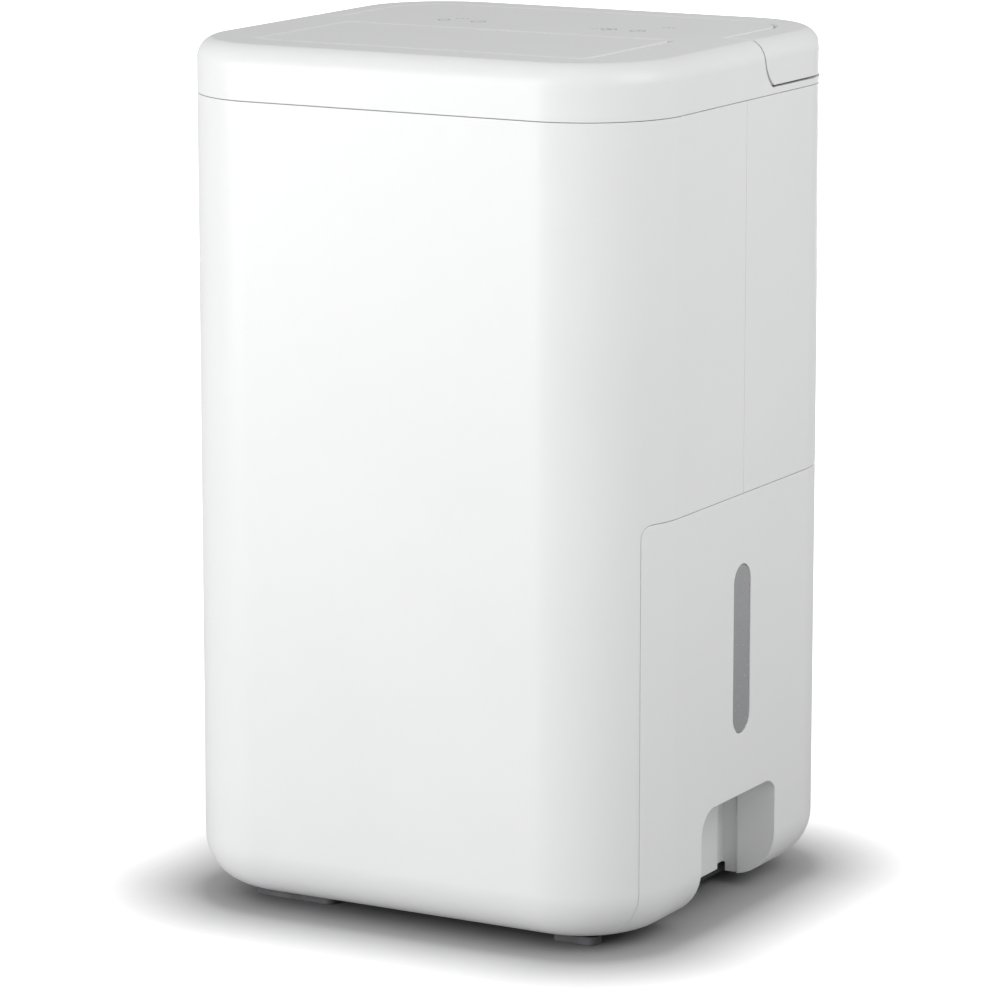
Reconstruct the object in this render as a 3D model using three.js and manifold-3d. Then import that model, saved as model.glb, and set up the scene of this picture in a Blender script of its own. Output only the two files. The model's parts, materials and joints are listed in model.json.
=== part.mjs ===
// Compact compressor dehumidifier, modelled as an assembly of its separate pieces.
// Millimetres, +Z up, front towards -Y, origin on the floor under the middle of the body.
import * as THREE from "three";
import { mergeVertices } from "three/addons/utils/BufferGeometryUtils.js";
import Module from "manifold-3d";

const wasm = await Module();
wasm.setup();

// ---------------------------------------------------------------- driving dimensions
const WIDTH = 295; // body, along X
const DEPTH = 275; // body, along Y
const HEIGHT = 490; // floor to top face
const CORNER_R = 59; // vertical corners, seen from above
const WALL = 2.5; // moulded housing wall
const FLOOR_CLEARANCE = 7; // floor to underside of the housing
const BOTTOM_FILLET = 28;
const TOP_FILLET = 12.5;
const CREASE_INSET = 9; // edge of the flat top face, in from the side walls
const SEAM = 0.6; // gap between housing mouldings
const TOUCH = 0.3; // gap between pieces that bear on each other
const RUNNING_FIT = 0.1; // radial, between a pin and the bore that turns on it

const TANK_HEIGHT = 240; // floor to the seam above the tank
const TANK_SETBACK = 29.5; // front face to the seam in front of the tank
const TANK_CORNER_R = 7; // upper front corner of the tank, seen from the side

const HANDLE_FRONT = 22.7; // front end of the handle arms, behind the middle of the body
const HANDLE_ARM = 26; // width of each arm, in from the side
const HANDLE_BAR = 29.5; // width of the crossbar, in from the back
const HANDLE_DROP = 26; // skirt of the handle, below the top face
const HANDLE_GAP = 1.4;
const HANDLE_WALL = 3;
const HANDLE_PIVOT_BACK = 13; // pivot behind the front end of the arms
const HANDLE_PIVOT_DEPTH = 5; // pivot below the top face
const HANDLE_INNER_R = 30; // inner corners of the handle
const HANDLE_UNDER = 1.2; // gap under the handle's skirt
const LEDGE = 3.8; // ledge of the lid under the handle, above the lid's seam
const LEDGE_WALL = 2;
const HANDLE_EDGE = 1; // bevel on the front ends of the arms
const PIVOT_PIN_R = 2;

const OUTLET_SIDE_INSET = 43.5; // ends of the air outlet in the lid, in from the sides
const OUTLET_BACK = -2.8; // its back edge
const OUTLET_FRONT_INSET = 31; // its front edge, in from the front face
const OUTLET_CORNER_R = 6;
const FLAP_GAP = 1.2;
const FLAP_BACK_GAP = 3.2; // room for the flap's hinged edge to swing
const FLAP_THICK = 2.5;
const FLAP_BARREL_R = 2.6;
const FLAP_HINGE_DEPTH = 4.1; // hinge below the top face
const FLAP_LUG_R = 2.4;
const FLAP_SKIN = 1.2; // what is left of the flap over each lug
const FLAP_PIN_R = 1.25;

const GRIP_FRONT = -48; // hand grip recess in each side of the tank
const GRIP_BACK = 44;
const GRIP_HEIGHT = 67.5; // top of the recess, above the floor
const GRIP_DEPTH = 29.5;
const GRIP_ARCH_R = 15;
const GRIP_INNER_R = 8;
const GRIP_LIFT = 4; // lower edge of the recess walls, above the underside
const CHANNEL_FRONT = 11.8; // channel in the inner rear corner of a recess, ahead of its rear wall
const CHANNEL_BACK = 3; // and behind it
const CHANNEL_DEPTH = 5; // behind the inner wall
const CHANNEL_SIDE = 4.5; // outwards from the inner wall
const WINDOW_WIDTH = 21; // water level window
const WINDOW_LOW = 103;
const WINDOW_HIGH = 200;
const WINDOW_RECESS = 0.6;

const FOOT_HEIGHT = 5;
const BASE_THICK = 6;
const BASE_SIDE_GAP = 3.5; // base plate to the edges of the slot under the tank
const SLOT_LIP = 1;
const DECK_THICK = 3;
const PANEL_THICK = 3; // column behind the front shell
const CONTAINER_WALL = 2;
const CONTAINER_DROP = 11; // container rim, below the tank seam
const TANK_LID_THICK = 2.5;
const TANK_RUN = 1; // running gap under the container
const POUR_OPENING = 55; // open part of the container behind its lid

const GRILLE_MARGIN = 4.5; // intake grille to the start of the rounded corners
const GRILLE_LOW = 28; // grille opening, above the deck seam
const GRILLE_HIGH = 20; // and below the lid seam
const GRILLE_SLOTS = 13;
const FILTER_THICK = 4;
const COIL_THICK = 22;
const COIL_GAP = 6;
const COIL_END_LANE = 41; // side wall to the ends of the coils
const COIL_TUBE_R = 3.5;
const COIL_ROWS = 7;
const TRAY_HEIGHT = 12;
const SCROLL_DEPTH = 48;
const SCROLL_WALL = 2;
const CHUTE_HALF_WIDTH = 60;
const CHUTE_RISE = 22;
const WHEEL_GAP = 13; // blower wheel tips to the scroll
const BLADES = 18;
const MOTOR_R = 33;
const SHAFT_R = 3;
const MOTOR_LENGTH = 33;
const DUCT_INSET = 6; // ends of the outlet to the sides of the duct
const DUCT_WALL = 2;
const DUCT_HEIGHT = 54;
const PIPE_LANE = 27; // space for pipes along the side walls
const FRONT_LANE = 22;
const ACCUMULATOR_R = 17;
const SUCTION_R = 4;
const DISCHARGE_R = 3;
const CAPILLARY_R = 1.6;
const PORT_FROM_SCREW = 20; // drain port, on the back, in from the lower right screw
const PORT_R = 6;
const PORT_BORE = 4;
const GLAND_FROM_SCREW = 16; // cord gland, in from the lower left screw
const GLAND_R = 8;
const SCREW_HEAD_R = 3.6;
const SCREW_R = 1.4;
const SCREW_LENGTH = 9.5;

const QUARTER_FACETS = 8; // facets in a quarter circle of the body's plan
const FILLET_STEPS = 4;
const ROUND = 20; // facets in a small round piece
const FAR = 600; // past every face of the body

// ---------------------------------------------------------------- derived places
const halfW = WIDTH / 2;
const halfD = DEPTH / 2;
const ledgeZ = HEIGHT - HANDLE_DROP - HANDLE_UNDER;
const lidSeamZ = ledgeZ - LEDGE;
const tankFrontY = -halfD + TANK_SETBACK;
const deckZ = TANK_HEIGHT + 2; // underside of the deck
const deckTop = deckZ + DECK_THICK;
const outletFront = -halfD + OUTLET_FRONT_INSET;
const handleInnerX = halfW - HANDLE_ARM;
const handleInnerY = halfD - HANDLE_BAR;
const pivotY = HANDLE_FRONT + HANDLE_PIVOT_BACK;
const pivotZ = HEIGHT - HANDLE_PIVOT_DEPTH;
const flapHingeY = OUTLET_BACK - FLAP_BACK_GAP - 3;
const flapHingeZ = HEIGHT - FLAP_HINGE_DEPTH;
const gripX = halfW - GRIP_DEPTH;
const slotHalf = gripX - WALL - SLOT_LIP; // slot under the tank, for the base plate
const baseHalf = slotHalf - BASE_SIDE_GAP;
const outletHalf = halfW - OUTLET_SIDE_INSET;
const ductHalf = outletHalf - DUCT_INSET;
const grilleHalf = halfW - CORNER_R - GRILLE_MARGIN;
const coilHalf = halfW - WALL - COIL_END_LANE;

// ---------------------------------------------------------------- finishes
const finish = (color, roughness, metalness = 0) =>
  new THREE.MeshStandardMaterial({ color, roughness, metalness });
const WHITE = finish(0xf1f1f0, 0.42);
const CLEAR_GREY = finish(0x8f9192, 0.25);
const DARK = finish(0x3a3b3d, 0.6);
const RUBBER = finish(0x565759, 0.85);
const BLACK_CAN = finish(0x1d1e20, 0.45, 0.2);
const ALUMINIUM = finish(0xc3c6c9, 0.35, 0.9);
const COPPER = finish(0xb5734a, 0.35, 0.95);
const STEEL = finish(0xa7a9ab, 0.35, 0.9);
const BOARD = finish(0x2c6a45, 0.55);
const FOAM = finish(0xe4e2da, 0.9);

// ---------------------------------------------------------------- shape helpers
// A closed geometry as a solid, turned outside out if its faces point inwards.
function solidOf(geometry) {
  const bare = geometry.clone();
  bare.deleteAttribute("normal");
  bare.deleteAttribute("uv");
  const merged = mergeVertices(bare, 1e-4);
  const vertProperties = merged.attributes.position.array;
  const triVerts = new Uint32Array(merged.index.array);
  const made = new wasm.Manifold(new wasm.Mesh({ numProp: 3, vertProperties, triVerts }));
  if (made.volume() > 0) return made;
  for (let i = 0; i < triVerts.length; i += 3) {
    [triVerts[i + 1], triVerts[i + 2]] = [triVerts[i + 2], triVerts[i + 1]];
  }
  return new wasm.Manifold(new wasm.Mesh({ numProp: 3, vertProperties, triVerts }));
}

function geometryOf(solid) {
  const mesh = solid.getMesh();
  const geometry = new THREE.BufferGeometry();
  geometry.setAttribute("position", new THREE.BufferAttribute(mesh.vertProperties, 3));
  geometry.setIndex(new THREE.BufferAttribute(mesh.triVerts, 1));
  geometry.computeVertexNormals();
  return geometry;
}

const moved = (solid, x, y, z) => {
  const geometry = geometryOf(solid);
  geometry.translate(x, y, z);
  return solidOf(geometry);
};

const join = (...solids) => solids.reduce((a, b) => a.add(b));

function box(x0, x1, y0, y1, z0, z1) {
  const geometry = new THREE.BoxGeometry(x1 - x0, y1 - y0, z1 - z0);
  return solidOf(geometry.translate((x0 + x1) / 2, (y0 + y1) / 2, (z0 + z1) / 2));
}

// A shape drawn in one plane, extruded along the axis that is left.
const flat = (shape, depth, curveSegments = QUARTER_FACETS / 2) =>
  new THREE.ExtrudeGeometry(shape, { depth, bevelEnabled: false, curveSegments });
const prismZ = (shape, z0, z1) => solidOf(flat(shape, z1 - z0).translate(0, 0, z0));
const prismX = (shape, x0, x1) => {
  const turn = new THREE.Matrix4().set(0, 0, 1, x0, 1, 0, 0, 0, 0, 1, 0, 0, 0, 0, 0, 1);
  return solidOf(flat(shape, x1 - x0).applyMatrix4(turn));
};
const prismY = (shape, y0, y1) => {
  const turn = new THREE.Matrix4().set(1, 0, 0, 0, 0, 0, -1, y1, 0, 1, 0, 0, 0, 0, 0, 1);
  return solidOf(flat(shape, y1 - y0).applyMatrix4(turn));
};

const polygon = (points) => new THREE.Shape(points.map(([a, b]) => new THREE.Vector2(a, b)));

function roundedRect(x0, x1, y0, y1, r) {
  const shape = new THREE.Shape();
  shape.absarc(x1 - r, y1 - r, r, 0, Math.PI / 2);
  shape.absarc(x0 + r, y1 - r, r, Math.PI / 2, Math.PI);
  shape.absarc(x0 + r, y0 + r, r, Math.PI, 1.5 * Math.PI);
  shape.absarc(x1 - r, y0 + r, r, 1.5 * Math.PI, 2 * Math.PI);
  shape.closePath();
  return shape;
}

// Round bars; each is centred on two coordinates and runs between two values of the third.
const rodZ = (x, y, z0, z1, r, facets = ROUND) =>
  solidOf(
    new THREE.CylinderGeometry(r, r, z1 - z0, facets)
      .rotateX(Math.PI / 2)
      .translate(x, y, (z0 + z1) / 2),
  );
const rodY = (x, z, y0, y1, r, facets = ROUND) =>
  solidOf(new THREE.CylinderGeometry(r, r, y1 - y0, facets).translate(x, (y0 + y1) / 2, z));
const rodX = (y, z, x0, x1, r, facets = ROUND) =>
  solidOf(
    new THREE.CylinderGeometry(r, r, x1 - x0, facets)
      .rotateZ(Math.PI / 2)
      .translate((x0 + x1) / 2, y, z),
  );

// A solid of revolution about Z through the origin, from [radius, height] pairs.
const turned = (profile, facets = 28) =>
  solidOf(
    new THREE.LatheGeometry(
      profile.map(([r, z]) => new THREE.Vector2(r, z)),
      facets,
    ).rotateX(Math.PI / 2),
  );

// A round tube or rod bent along a smooth line through the given points.
function pipe(points, r, steps = 26, facets = 6) {
  const path = new THREE.CatmullRomCurve3(
    points.map(([x, y, z]) => new THREE.Vector3(x, y, z)),
    false,
    "centripetal",
  );
  const section = polygon(
    Array.from({ length: facets }, (_, i) => {
      const a = (2 * Math.PI * i) / facets;
      return [r * Math.cos(a), r * Math.sin(a)];
    }),
  );
  return solidOf(
    new THREE.ExtrudeGeometry(section, { steps, bevelEnabled: false, extrudePath: path }),
  );
}

// Plan outline of the body, moved in by an inset, as a ring of points.
function bodyRing(inset) {
  const r = CORNER_R - inset;
  const shape = roundedRect(-halfW + inset, halfW - inset, -halfD + inset, halfD - inset, r);
  return shape.extractPoints(QUARTER_FACETS / 2).shape.filter((p, i, all) => {
    const next = all[(i + 1) % all.length];
    return p.distanceTo(next) > 1e-6;
  });
}

// The whole body outline as a solid, offset inwards by w from every outer face.
function bodySolid(w) {
  const levels = [];
  for (let i = 0; i <= FILLET_STEPS; i++) {
    const a = (Math.PI / 2) * (i / FILLET_STEPS);
    const r = BOTTOM_FILLET - w;
    const z = FLOOR_CLEARANCE + BOTTOM_FILLET - r * Math.cos(a);
    levels.push([BOTTOM_FILLET - r * Math.sin(a), z]);
  }
  const crease = Math.acos(1 - CREASE_INSET / TOP_FILLET);
  const centreZ = HEIGHT - TOP_FILLET * Math.sin(crease);
  const r = TOP_FILLET - w;
  const last = Math.asin((HEIGHT - w - centreZ) / r);
  for (let i = 0; i <= FILLET_STEPS; i++) {
    const a = last * (i / FILLET_STEPS);
    levels.push([TOP_FILLET - r * Math.cos(a), centreZ + r * Math.sin(a)]);
  }
  return loft(levels.map(([inset, z]) => bodyRing(inset).map((p) => [p.x, p.y, z])));
}

// Rings of equal point counts joined into one closed solid, with a flat face at each end.
function loft(rings) {
  const count = rings[0].length;
  const index = [];
  for (let level = 0; level + 1 < rings.length; level++) {
    for (let i = 0; i < count; i++) {
      const a = level * count + i;
      const b = level * count + ((i + 1) % count);
      index.push(a, b, b + count, a, b + count, a + count);
    }
  }
  const top = (rings.length - 1) * count;
  for (let i = 1; i + 1 < count; i++) {
    index.push(0, i + 1, i);
    index.push(top, top + i, top + i + 1);
  }
  const geometry = new THREE.BufferGeometry();
  const positions = new Float32Array(rings.flat(2));
  geometry.setAttribute("position", new THREE.BufferAttribute(positions, 3));
  geometry.setIndex(index);
  return solidOf(geometry);
}

// ---------------------------------------------------------------- assembly tree
const root = new THREE.Group();
function addTo(parent, name, solid, material, place = [0, 0, 0]) {
  const mesh = new THREE.Mesh(geometryOf(solid), material);
  mesh.name = name;
  mesh.position.set(...place);
  parent.add(mesh);
}
function subassembly(x = 0, y = 0, z = 0) {
  const group = new THREE.Group();
  group.position.set(x, y, z);
  root.add(group);
  return group;
}

const bodyOuter = bodySolid(0);
const bodyInner = bodySolid(WALL);
const skin = bodyOuter.subtract(bodyInner);

// Side view of the tank, with its rounded upper front corner, grown by g.
function tankRegion(g) {
  const shape = new THREE.Shape();
  shape.moveTo(tankFrontY - g, -FAR);
  shape.lineTo(FAR, -FAR);
  shape.lineTo(FAR, TANK_HEIGHT + g);
  shape.lineTo(tankFrontY + TANK_CORNER_R, TANK_HEIGHT + g);
  shape.absarc(
    tankFrontY + TANK_CORNER_R,
    TANK_HEIGHT - TANK_CORNER_R,
    TANK_CORNER_R + g,
    Math.PI / 2,
    Math.PI,
  );
  shape.closePath();
  return prismX(shape, -FAR, FAR);
}

// ---------------------------------------------------------------- housing
const housing = subassembly();
const belowLid = lidSeamZ - SEAM / 2;
const aboveTank = tankRegion(SEAM / 2);

addTo(
  housing,
  "front_shell",
  skin.intersect(box(-FAR, FAR, -FAR, -SEAM / 2, -FAR, belowLid)).subtract(aboveTank),
  WHITE,
);

const screwX = grilleHalf - 6;
const portX = screwX - PORT_FROM_SCREW;
const glandX = GLAND_FROM_SCREW - screwX;
const screwLowZ = deckTop + 8;
const screwHighZ = belowLid - 9;
const portZ = deckTop + 8;
const grilleLowZ = TANK_HEIGHT + GRILLE_LOW;
const grilleHighZ = lidSeamZ - GRILLE_HIGH;
const screwPlaces = [-screwX, screwX].flatMap((x) => [
  [x, screwLowZ],
  [x, screwHighZ],
]);

function rearShell() {
  const wall = skin.intersect(box(-FAR, FAR, SEAM / 2, FAR, -FAR, belowLid));
  const opening = roundedRect(-grilleHalf, grilleHalf, grilleLowZ, grilleHighZ, 8);
  const y0 = halfD - 2 * WALL;
  const holes = [
    rodY(portX, portZ, y0, FAR, PORT_R + 4),
    rodY(glandX, portZ, y0, FAR, GLAND_R + TOUCH),
    ...screwPlaces.map(([x, z]) => rodY(x, z, y0, FAR, SCREW_HEAD_R + TOUCH, 12)),
  ];
  return wall.subtract(aboveTank).subtract(prismY(opening, y0, FAR)).subtract(join(...holes));
}
addTo(housing, "rear_shell", rearShell(), WHITE);

// Side view of the handle, grown by g in front and by under below it.
function handleSide(g, under = g) {
  const low = HEIGHT - HANDLE_DROP - under;
  const front = HANDLE_FRONT - g;
  const lean = 11; // the front end leans back towards its lower corner
  const shape = new THREE.Shape();
  shape.moveTo(front, HEIGHT + FAR);
  shape.lineTo(front, HEIGHT - 8);
  shape.quadraticCurveTo(front + 1, low + 6, front + lean, low);
  shape.lineTo(FAR, low);
  shape.lineTo(FAR, HEIGHT + FAR);
  shape.closePath();
  return shape;
}

// Plan of what lies between the handle's arms, grown by g.
const betweenArms = (g) =>
  roundedRect(-handleInnerX - g, handleInnerX + g, -FAR, handleInnerY + g, HANDLE_INNER_R + g);

function topLid() {
  const core = prismZ(betweenArms(-WALL), -FAR, FAR);
  const front = box(-FAR, FAR, -FAR, HANDLE_FRONT - HANDLE_GAP - WALL, -FAR, FAR);
  const underLedge = box(-FAR, FAR, -FAR, FAR, -FAR, ledgeZ - LEDGE_WALL);
  const hollow = bodyInner.intersect(join(core, front, underLedge));
  const handleSpace = prismX(handleSide(HANDLE_GAP, HANDLE_UNDER), -FAR, FAR).subtract(
    prismZ(betweenArms(0), -FAR, FAR),
  );
  const outlet = roundedRect(
    -outletHalf,
    outletHalf,
    outletFront,
    OUTLET_BACK,
    OUTLET_CORNER_R,
  );
  const pinHole = rodX(pivotY, pivotZ, -FAR, FAR, PIVOT_PIN_R + TOUCH);
  const posts = [-1, 1].map((side) =>
    box(
      side * screwX - 5,
      side * screwX + 5,
      halfD - WALL - 1 - SCREW_LENGTH,
      halfD - WALL - 1,
      screwHighZ - 5,
      ledgeZ - LEDGE_WALL + 0.5,
    ),
  );
  const postHoles = [-1, 1].map((side) =>
    rodY(side * screwX, screwHighZ, 0, FAR, SCREW_R + TOUCH, 12),
  );
  return bodyOuter
    .intersect(box(-FAR, FAR, -FAR, FAR, lidSeamZ + SEAM / 2, FAR))
    .subtract(hollow)
    .add(join(...posts))
    .subtract(handleSpace)
    .subtract(prismZ(outlet, -FAR, FAR))
    .subtract(join(pinHole, ...postHoles));
}
addTo(housing, "top_lid", topLid(), WHITE);

function rearScrew() {
  const head = rodY(0, 0, -2.2, 0, SCREW_HEAD_R, 12);
  return join(head, rodY(0, 0, -2.2 - SCREW_LENGTH, -2.2, SCREW_R, 12));
}
screwPlaces.forEach(([x, z], i) =>
  addTo(housing, `rear_screw_${i + 1}`, rearScrew(), STEEL, [x, halfD - TOUCH, z]),
);

const glandBody = join(
  rodY(0, 0, -7, 0, GLAND_R),
  rodY(0, 0, -9 - WALL, -7, GLAND_R - 2),
).subtract(rodY(0, 0, -FAR, FAR, 3.4));
addTo(housing, "cord_gland", glandBody, RUBBER, [glandX, halfD - TOUCH, portZ]);

// ---------------------------------------------------------------- carry handle
const handle = subassembly();
function carryHandle() {
  const solid = bodyOuter
    .intersect(prismX(handleSide(0), -FAR, FAR))
    .subtract(prismZ(betweenArms(HANDLE_GAP), -FAR, FAR));
  const underside = bodySolid(HANDLE_WALL)
    .intersect(prismX(handleSide(-HANDLE_WALL), -FAR, FAR).add(box(-FAR, FAR, pivotY, FAR, 0, HEIGHT)))
    .subtract(prismZ(betweenArms(HANDLE_GAP + HANDLE_WALL), -FAR, FAR))
    .intersect(box(-FAR, FAR, -FAR, FAR, 0, HEIGHT - HANDLE_WALL));
  const hubIn = handleInnerX + HANDLE_GAP;
  const hubs = [-1, 1].map((side) => {
    const ends = [side * hubIn, side * (hubIn + 9)].sort((a, b) => a - b);
    return rodX(pivotY, pivotZ, ends[0], ends[1], PIVOT_PIN_R + 2.4);
  });
  const bore = [-1, 1].map((side) => {
    const ends = [side * (hubIn - 5), side * (hubIn + 6)].sort((a, b) => a - b);
    return rodX(pivotY, pivotZ, ends[0], ends[1], PIVOT_PIN_R + RUNNING_FIT);
  });
  const bevel = polygon([
    [HANDLE_FRONT - 1, HEIGHT - HANDLE_EDGE - 1],
    [HANDLE_FRONT + HANDLE_EDGE + 1, HEIGHT + 1],
    [HANDLE_FRONT - 1, HEIGHT + 1],
  ]);
  return solid
    .subtract(underside)
    .add(join(...hubs))
    .subtract(join(...bore, prismX(bevel, -FAR, FAR)));
}
addTo(handle, "carry_handle", carryHandle(), WHITE);
for (const [name, side] of [["handle_pin_left", -1], ["handle_pin_right", 1]]) {
  const inner = handleInnerX - WALL - 3;
  const ends = [side * inner, side * (handleInnerX + HANDLE_GAP + 5.5)].sort((a, b) => a - b);
  addTo(handle, name, rodX(pivotY, pivotZ, ends[0], ends[1], PIVOT_PIN_R), STEEL);
}

// ---------------------------------------------------------------- air outlet
const outletParts = subassembly();
const flapBack = OUTLET_BACK - FLAP_BACK_GAP;
const flapHalf = outletHalf - FLAP_GAP;
const barrelHalf = flapHalf - 9; // hinge barrel, clear of the lugs at each end
function outletFlap() {
  const outline = roundedRect(
    -flapHalf,
    flapHalf,
    outletFront + FLAP_GAP,
    flapBack,
    OUTLET_CORNER_R - FLAP_GAP,
  );
  const barrel = rodX(flapHingeY, flapHingeZ, -barrelHalf, barrelHalf, FLAP_BARREL_R, 12);
  const bores = [-1, 1].map((side) => {
    const ends = [side * (barrelHalf - 8), side * FAR].sort((a, b) => a - b);
    return rodX(flapHingeY, flapHingeZ, ends[0], ends[1], FLAP_PIN_R + RUNNING_FIT, 12);
  });
  const lugRoom = [-1, 1].map((side) => {
    const ends = [side * barrelHalf, side * FAR].sort((a, b) => a - b);
    return box(ends[0], ends[1], flapHingeY - 4.5, FAR, 0, HEIGHT - FLAP_SKIN);
  });
  return prismZ(outline, HEIGHT - FLAP_THICK, HEIGHT)
    .add(barrel)
    .subtract(join(...bores, ...lugRoom));
}
addTo(outletParts, "outlet_flap", outletFlap(), WHITE);

// Duct from the blower forward to the outlet: closed above the blower, open under the flap.
const ductTop = HEIGHT - FLAP_THICK - 4.5;
const ductBack = halfD - WALL - 7.5 - FILTER_THICK - 2 * COIL_THICK - COIL_GAP - 12;
const ductLow = lidSeamZ - DUCT_HEIGHT + 13;
const ductRoof = HEIGHT - 18;
const ductFront = outletFront + 1.5;
const scrollBack = ductBack - 4;
const scrollFront = scrollBack - SCROLL_DEPTH;
function ductSide(inset) {
  return polygon([
    [ductFront + inset, ductTop + (inset ? FAR : 0)],
    [ductFront + inset, lidSeamZ - 6 + inset],
    [scrollFront - 4 + inset / 2, ductLow + inset],
    [ductBack - inset, ductLow + inset],
    [ductBack - inset, ductRoof - inset],
    [flapHingeY - 5 - inset, ductRoof - inset],
    [flapHingeY - 5 - inset, ductTop + (inset ? FAR : 0)],
  ]);
}
function airDuct() {
  const outer = prismX(ductSide(0), -ductHalf, ductHalf);
  const inner = prismX(ductSide(DUCT_WALL), DUCT_WALL - ductHalf, ductHalf - DUCT_WALL);
  const throat = box(
    -CHUTE_HALF_WIDTH,
    CHUTE_HALF_WIDTH,
    scrollFront + SCROLL_WALL,
    scrollBack - SCROLL_WALL,
    0,
    ductLow + 10,
  );
  return outer.subtract(inner).subtract(throat);
}
addTo(outletParts, "air_duct", airDuct(), DARK);

function outletGuard() {
  const half = ductHalf - DUCT_WALL - TOUCH;
  const front = ductFront + DUCT_WALL + TOUCH;
  const back = flapHingeY - 5 - DUCT_WALL - TOUCH;
  const z1 = ductTop - 6;
  const z0 = z1 - 5;
  const rim = 3;
  const bars = 9;
  const pitch = (back - front - rim) / (bars + 1);
  let guard = box(-half, half, front, back, z0, z1).subtract(
    box(rim - half, half - rim, front + rim, back - rim, -FAR, FAR),
  );
  for (let i = 1; i <= bars; i++) {
    const y = front + rim / 2 + i * pitch;
    guard = guard.add(box(-half + 1, half - 1, y - 0.9, y + 0.9, z0 + 0.5, z1 - 0.5));
  }
  for (const x of [-half / 3, half / 3]) {
    guard = guard.add(box(x - 1.2, x + 1.2, front + 1, back - 1, z0 + 1, z1 - 1));
  }
  return guard;
}
addTo(outletParts, "outlet_guard", outletGuard(), DARK);

for (const [name, side] of [["flap_pin_left", -1], ["flap_pin_right", 1]]) {
  const ends = [side * (barrelHalf - 7), side * (barrelHalf + 5.5)].sort((a, b) => a - b);
  addTo(outletParts, name, rodX(flapHingeY, flapHingeZ, ends[0], ends[1], FLAP_PIN_R, 12), STEEL);
}
// The lugs that hold the flap's pins, each a post on a rail under the lid.
function flapBracket(side) {
  const near = barrelHalf + TOUCH;
  const xs = [side * near, side * (near + 4)].sort((a, b) => a - b);
  const rail = [side * near, side * (outletHalf + 8)].sort((a, b) => a - b);
  const [y0, y1] = [flapHingeY - FLAP_LUG_R, flapHingeY + FLAP_LUG_R];
  return box(xs[0], xs[1], y0, y1, ductRoof + TOUCH, flapHingeZ)
    .add(box(rail[0], rail[1], y0, y1, ductRoof + TOUCH, ductRoof + 4))
    .add(rodX(flapHingeY, flapHingeZ, xs[0], xs[1], FLAP_LUG_R))
    .subtract(rodX(flapHingeY, flapHingeZ, -FAR, FAR, FLAP_PIN_R + TOUCH, 12));
}
addTo(outletParts, "flap_bracket_left", flapBracket(-1), DARK);
addTo(outletParts, "flap_bracket_right", flapBracket(1), DARK);
addTo(
  outletParts,
  "flap_motor",
  rodX(0, 0, -9.5, 9.5, 10).add(box(-9.5, 9.5, 0, 13, -7, 7)),
  STEEL,
  [-(ductHalf + TOUCH + 9.5), flapHingeY, ductRoof - 12],
);

// ---------------------------------------------------------------- intake, on the back
const intake = subassembly(0, halfD, 0);
function intakeGrille() {
  const x = grilleHalf - SEAM;
  const z0 = grilleLowZ + SEAM;
  const z1 = grilleHighZ - SEAM;
  const rim = 8;
  const pitch = (z1 - z0 - 2 * rim) / GRILLE_SLOTS;
  let plate = prismY(roundedRect(-x, x, z0, z1, 8 - SEAM), -6, 0);
  plate = plate.subtract(box(rim - x, x - rim, -FAR, -WALL, z0 + rim, z1 - rim));
  for (let i = 0; i < GRILLE_SLOTS; i++) {
    const low = z0 + rim + i * pitch;
    for (const side of [-1, 1]) {
      const xs = [side * 2, side * (x - rim)].sort((a, b) => a - b);
      plate = plate.subtract(box(xs[0], xs[1], -FAR, FAR, low + 2, low + pitch - 2));
    }
  }
  return plate;
}
addTo(intake, "intake_grille", intakeGrille(), WHITE);
const filterFront = -WALL - 6 - FILTER_THICK;
const filterHalf = grilleHalf - 3;
const filterLow = grilleLowZ + 3;
const filterHigh = grilleHighZ - 3;
const FILTER_RIM = 6;
function filterFrame() {
  const frame = box(-filterHalf, filterHalf, filterFront, filterFront + FILTER_THICK, filterLow, filterHigh);
  const hole = box(
    FILTER_RIM - filterHalf,
    filterHalf - FILTER_RIM,
    -FAR,
    FAR,
    filterLow + FILTER_RIM,
    filterHigh - FILTER_RIM,
  );
  const middle = box(-1.5, 1.5, filterFront, filterFront + 1, filterLow + 1, filterHigh - 1);
  return frame.subtract(hole).add(middle);
}
addTo(intake, "filter_frame", filterFrame(), DARK);
addTo(
  intake,
  "filter_mesh",
  box(
    FILTER_RIM - filterHalf + TOUCH,
    filterHalf - FILTER_RIM - TOUCH,
    filterFront + 1 + TOUCH,
    filterFront + FILTER_THICK - 1,
    filterLow + FILTER_RIM + TOUCH,
    filterHigh - FILTER_RIM - TOUCH,
  ),
  DARK,
);

// ---------------------------------------------------------------- base and chassis
const chassis = subassembly();
const baseLow = FOOT_HEIGHT + TOUCH;
const baseTop = baseLow + BASE_THICK;
const baseFront = tankFrontY + SEAM;
const baseBack = halfD - BOTTOM_FILLET - 4;
addTo(
  chassis,
  "base_plate",
  prismZ(roundedRect(-baseHalf, baseHalf, baseFront, baseBack, 14), baseLow, baseTop),
  DARK,
);

// Rubber feet: a long one under the front left corner, a short one under each of the others.
const LONG_FOOT = 52;
const SHORT_FOOT = 27;
const FOOT_WIDTH = 13;
const footOuter = baseHalf - 1;
const feet = [
  ["foot_front_left", -footOuter + LONG_FOOT / 2, baseFront + 3, LONG_FOOT],
  ["foot_front_right", footOuter - SHORT_FOOT / 2, baseFront + 3, SHORT_FOOT],
  ["foot_rear_left", -footOuter + 8 + SHORT_FOOT / 2, baseBack - FOOT_WIDTH - 3, SHORT_FOOT],
  ["foot_rear_right", footOuter - 8 - SHORT_FOOT / 2, baseBack - FOOT_WIDTH - 3, SHORT_FOOT],
];
for (const [name, x, y, length] of feet) {
  const pad = roundedRect(-length / 2, length / 2, 0, FOOT_WIDTH, 5);
  addTo(chassis, name, prismZ(pad, 0, FOOT_HEIGHT), RUBBER, [x, y, 0]);
}

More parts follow.
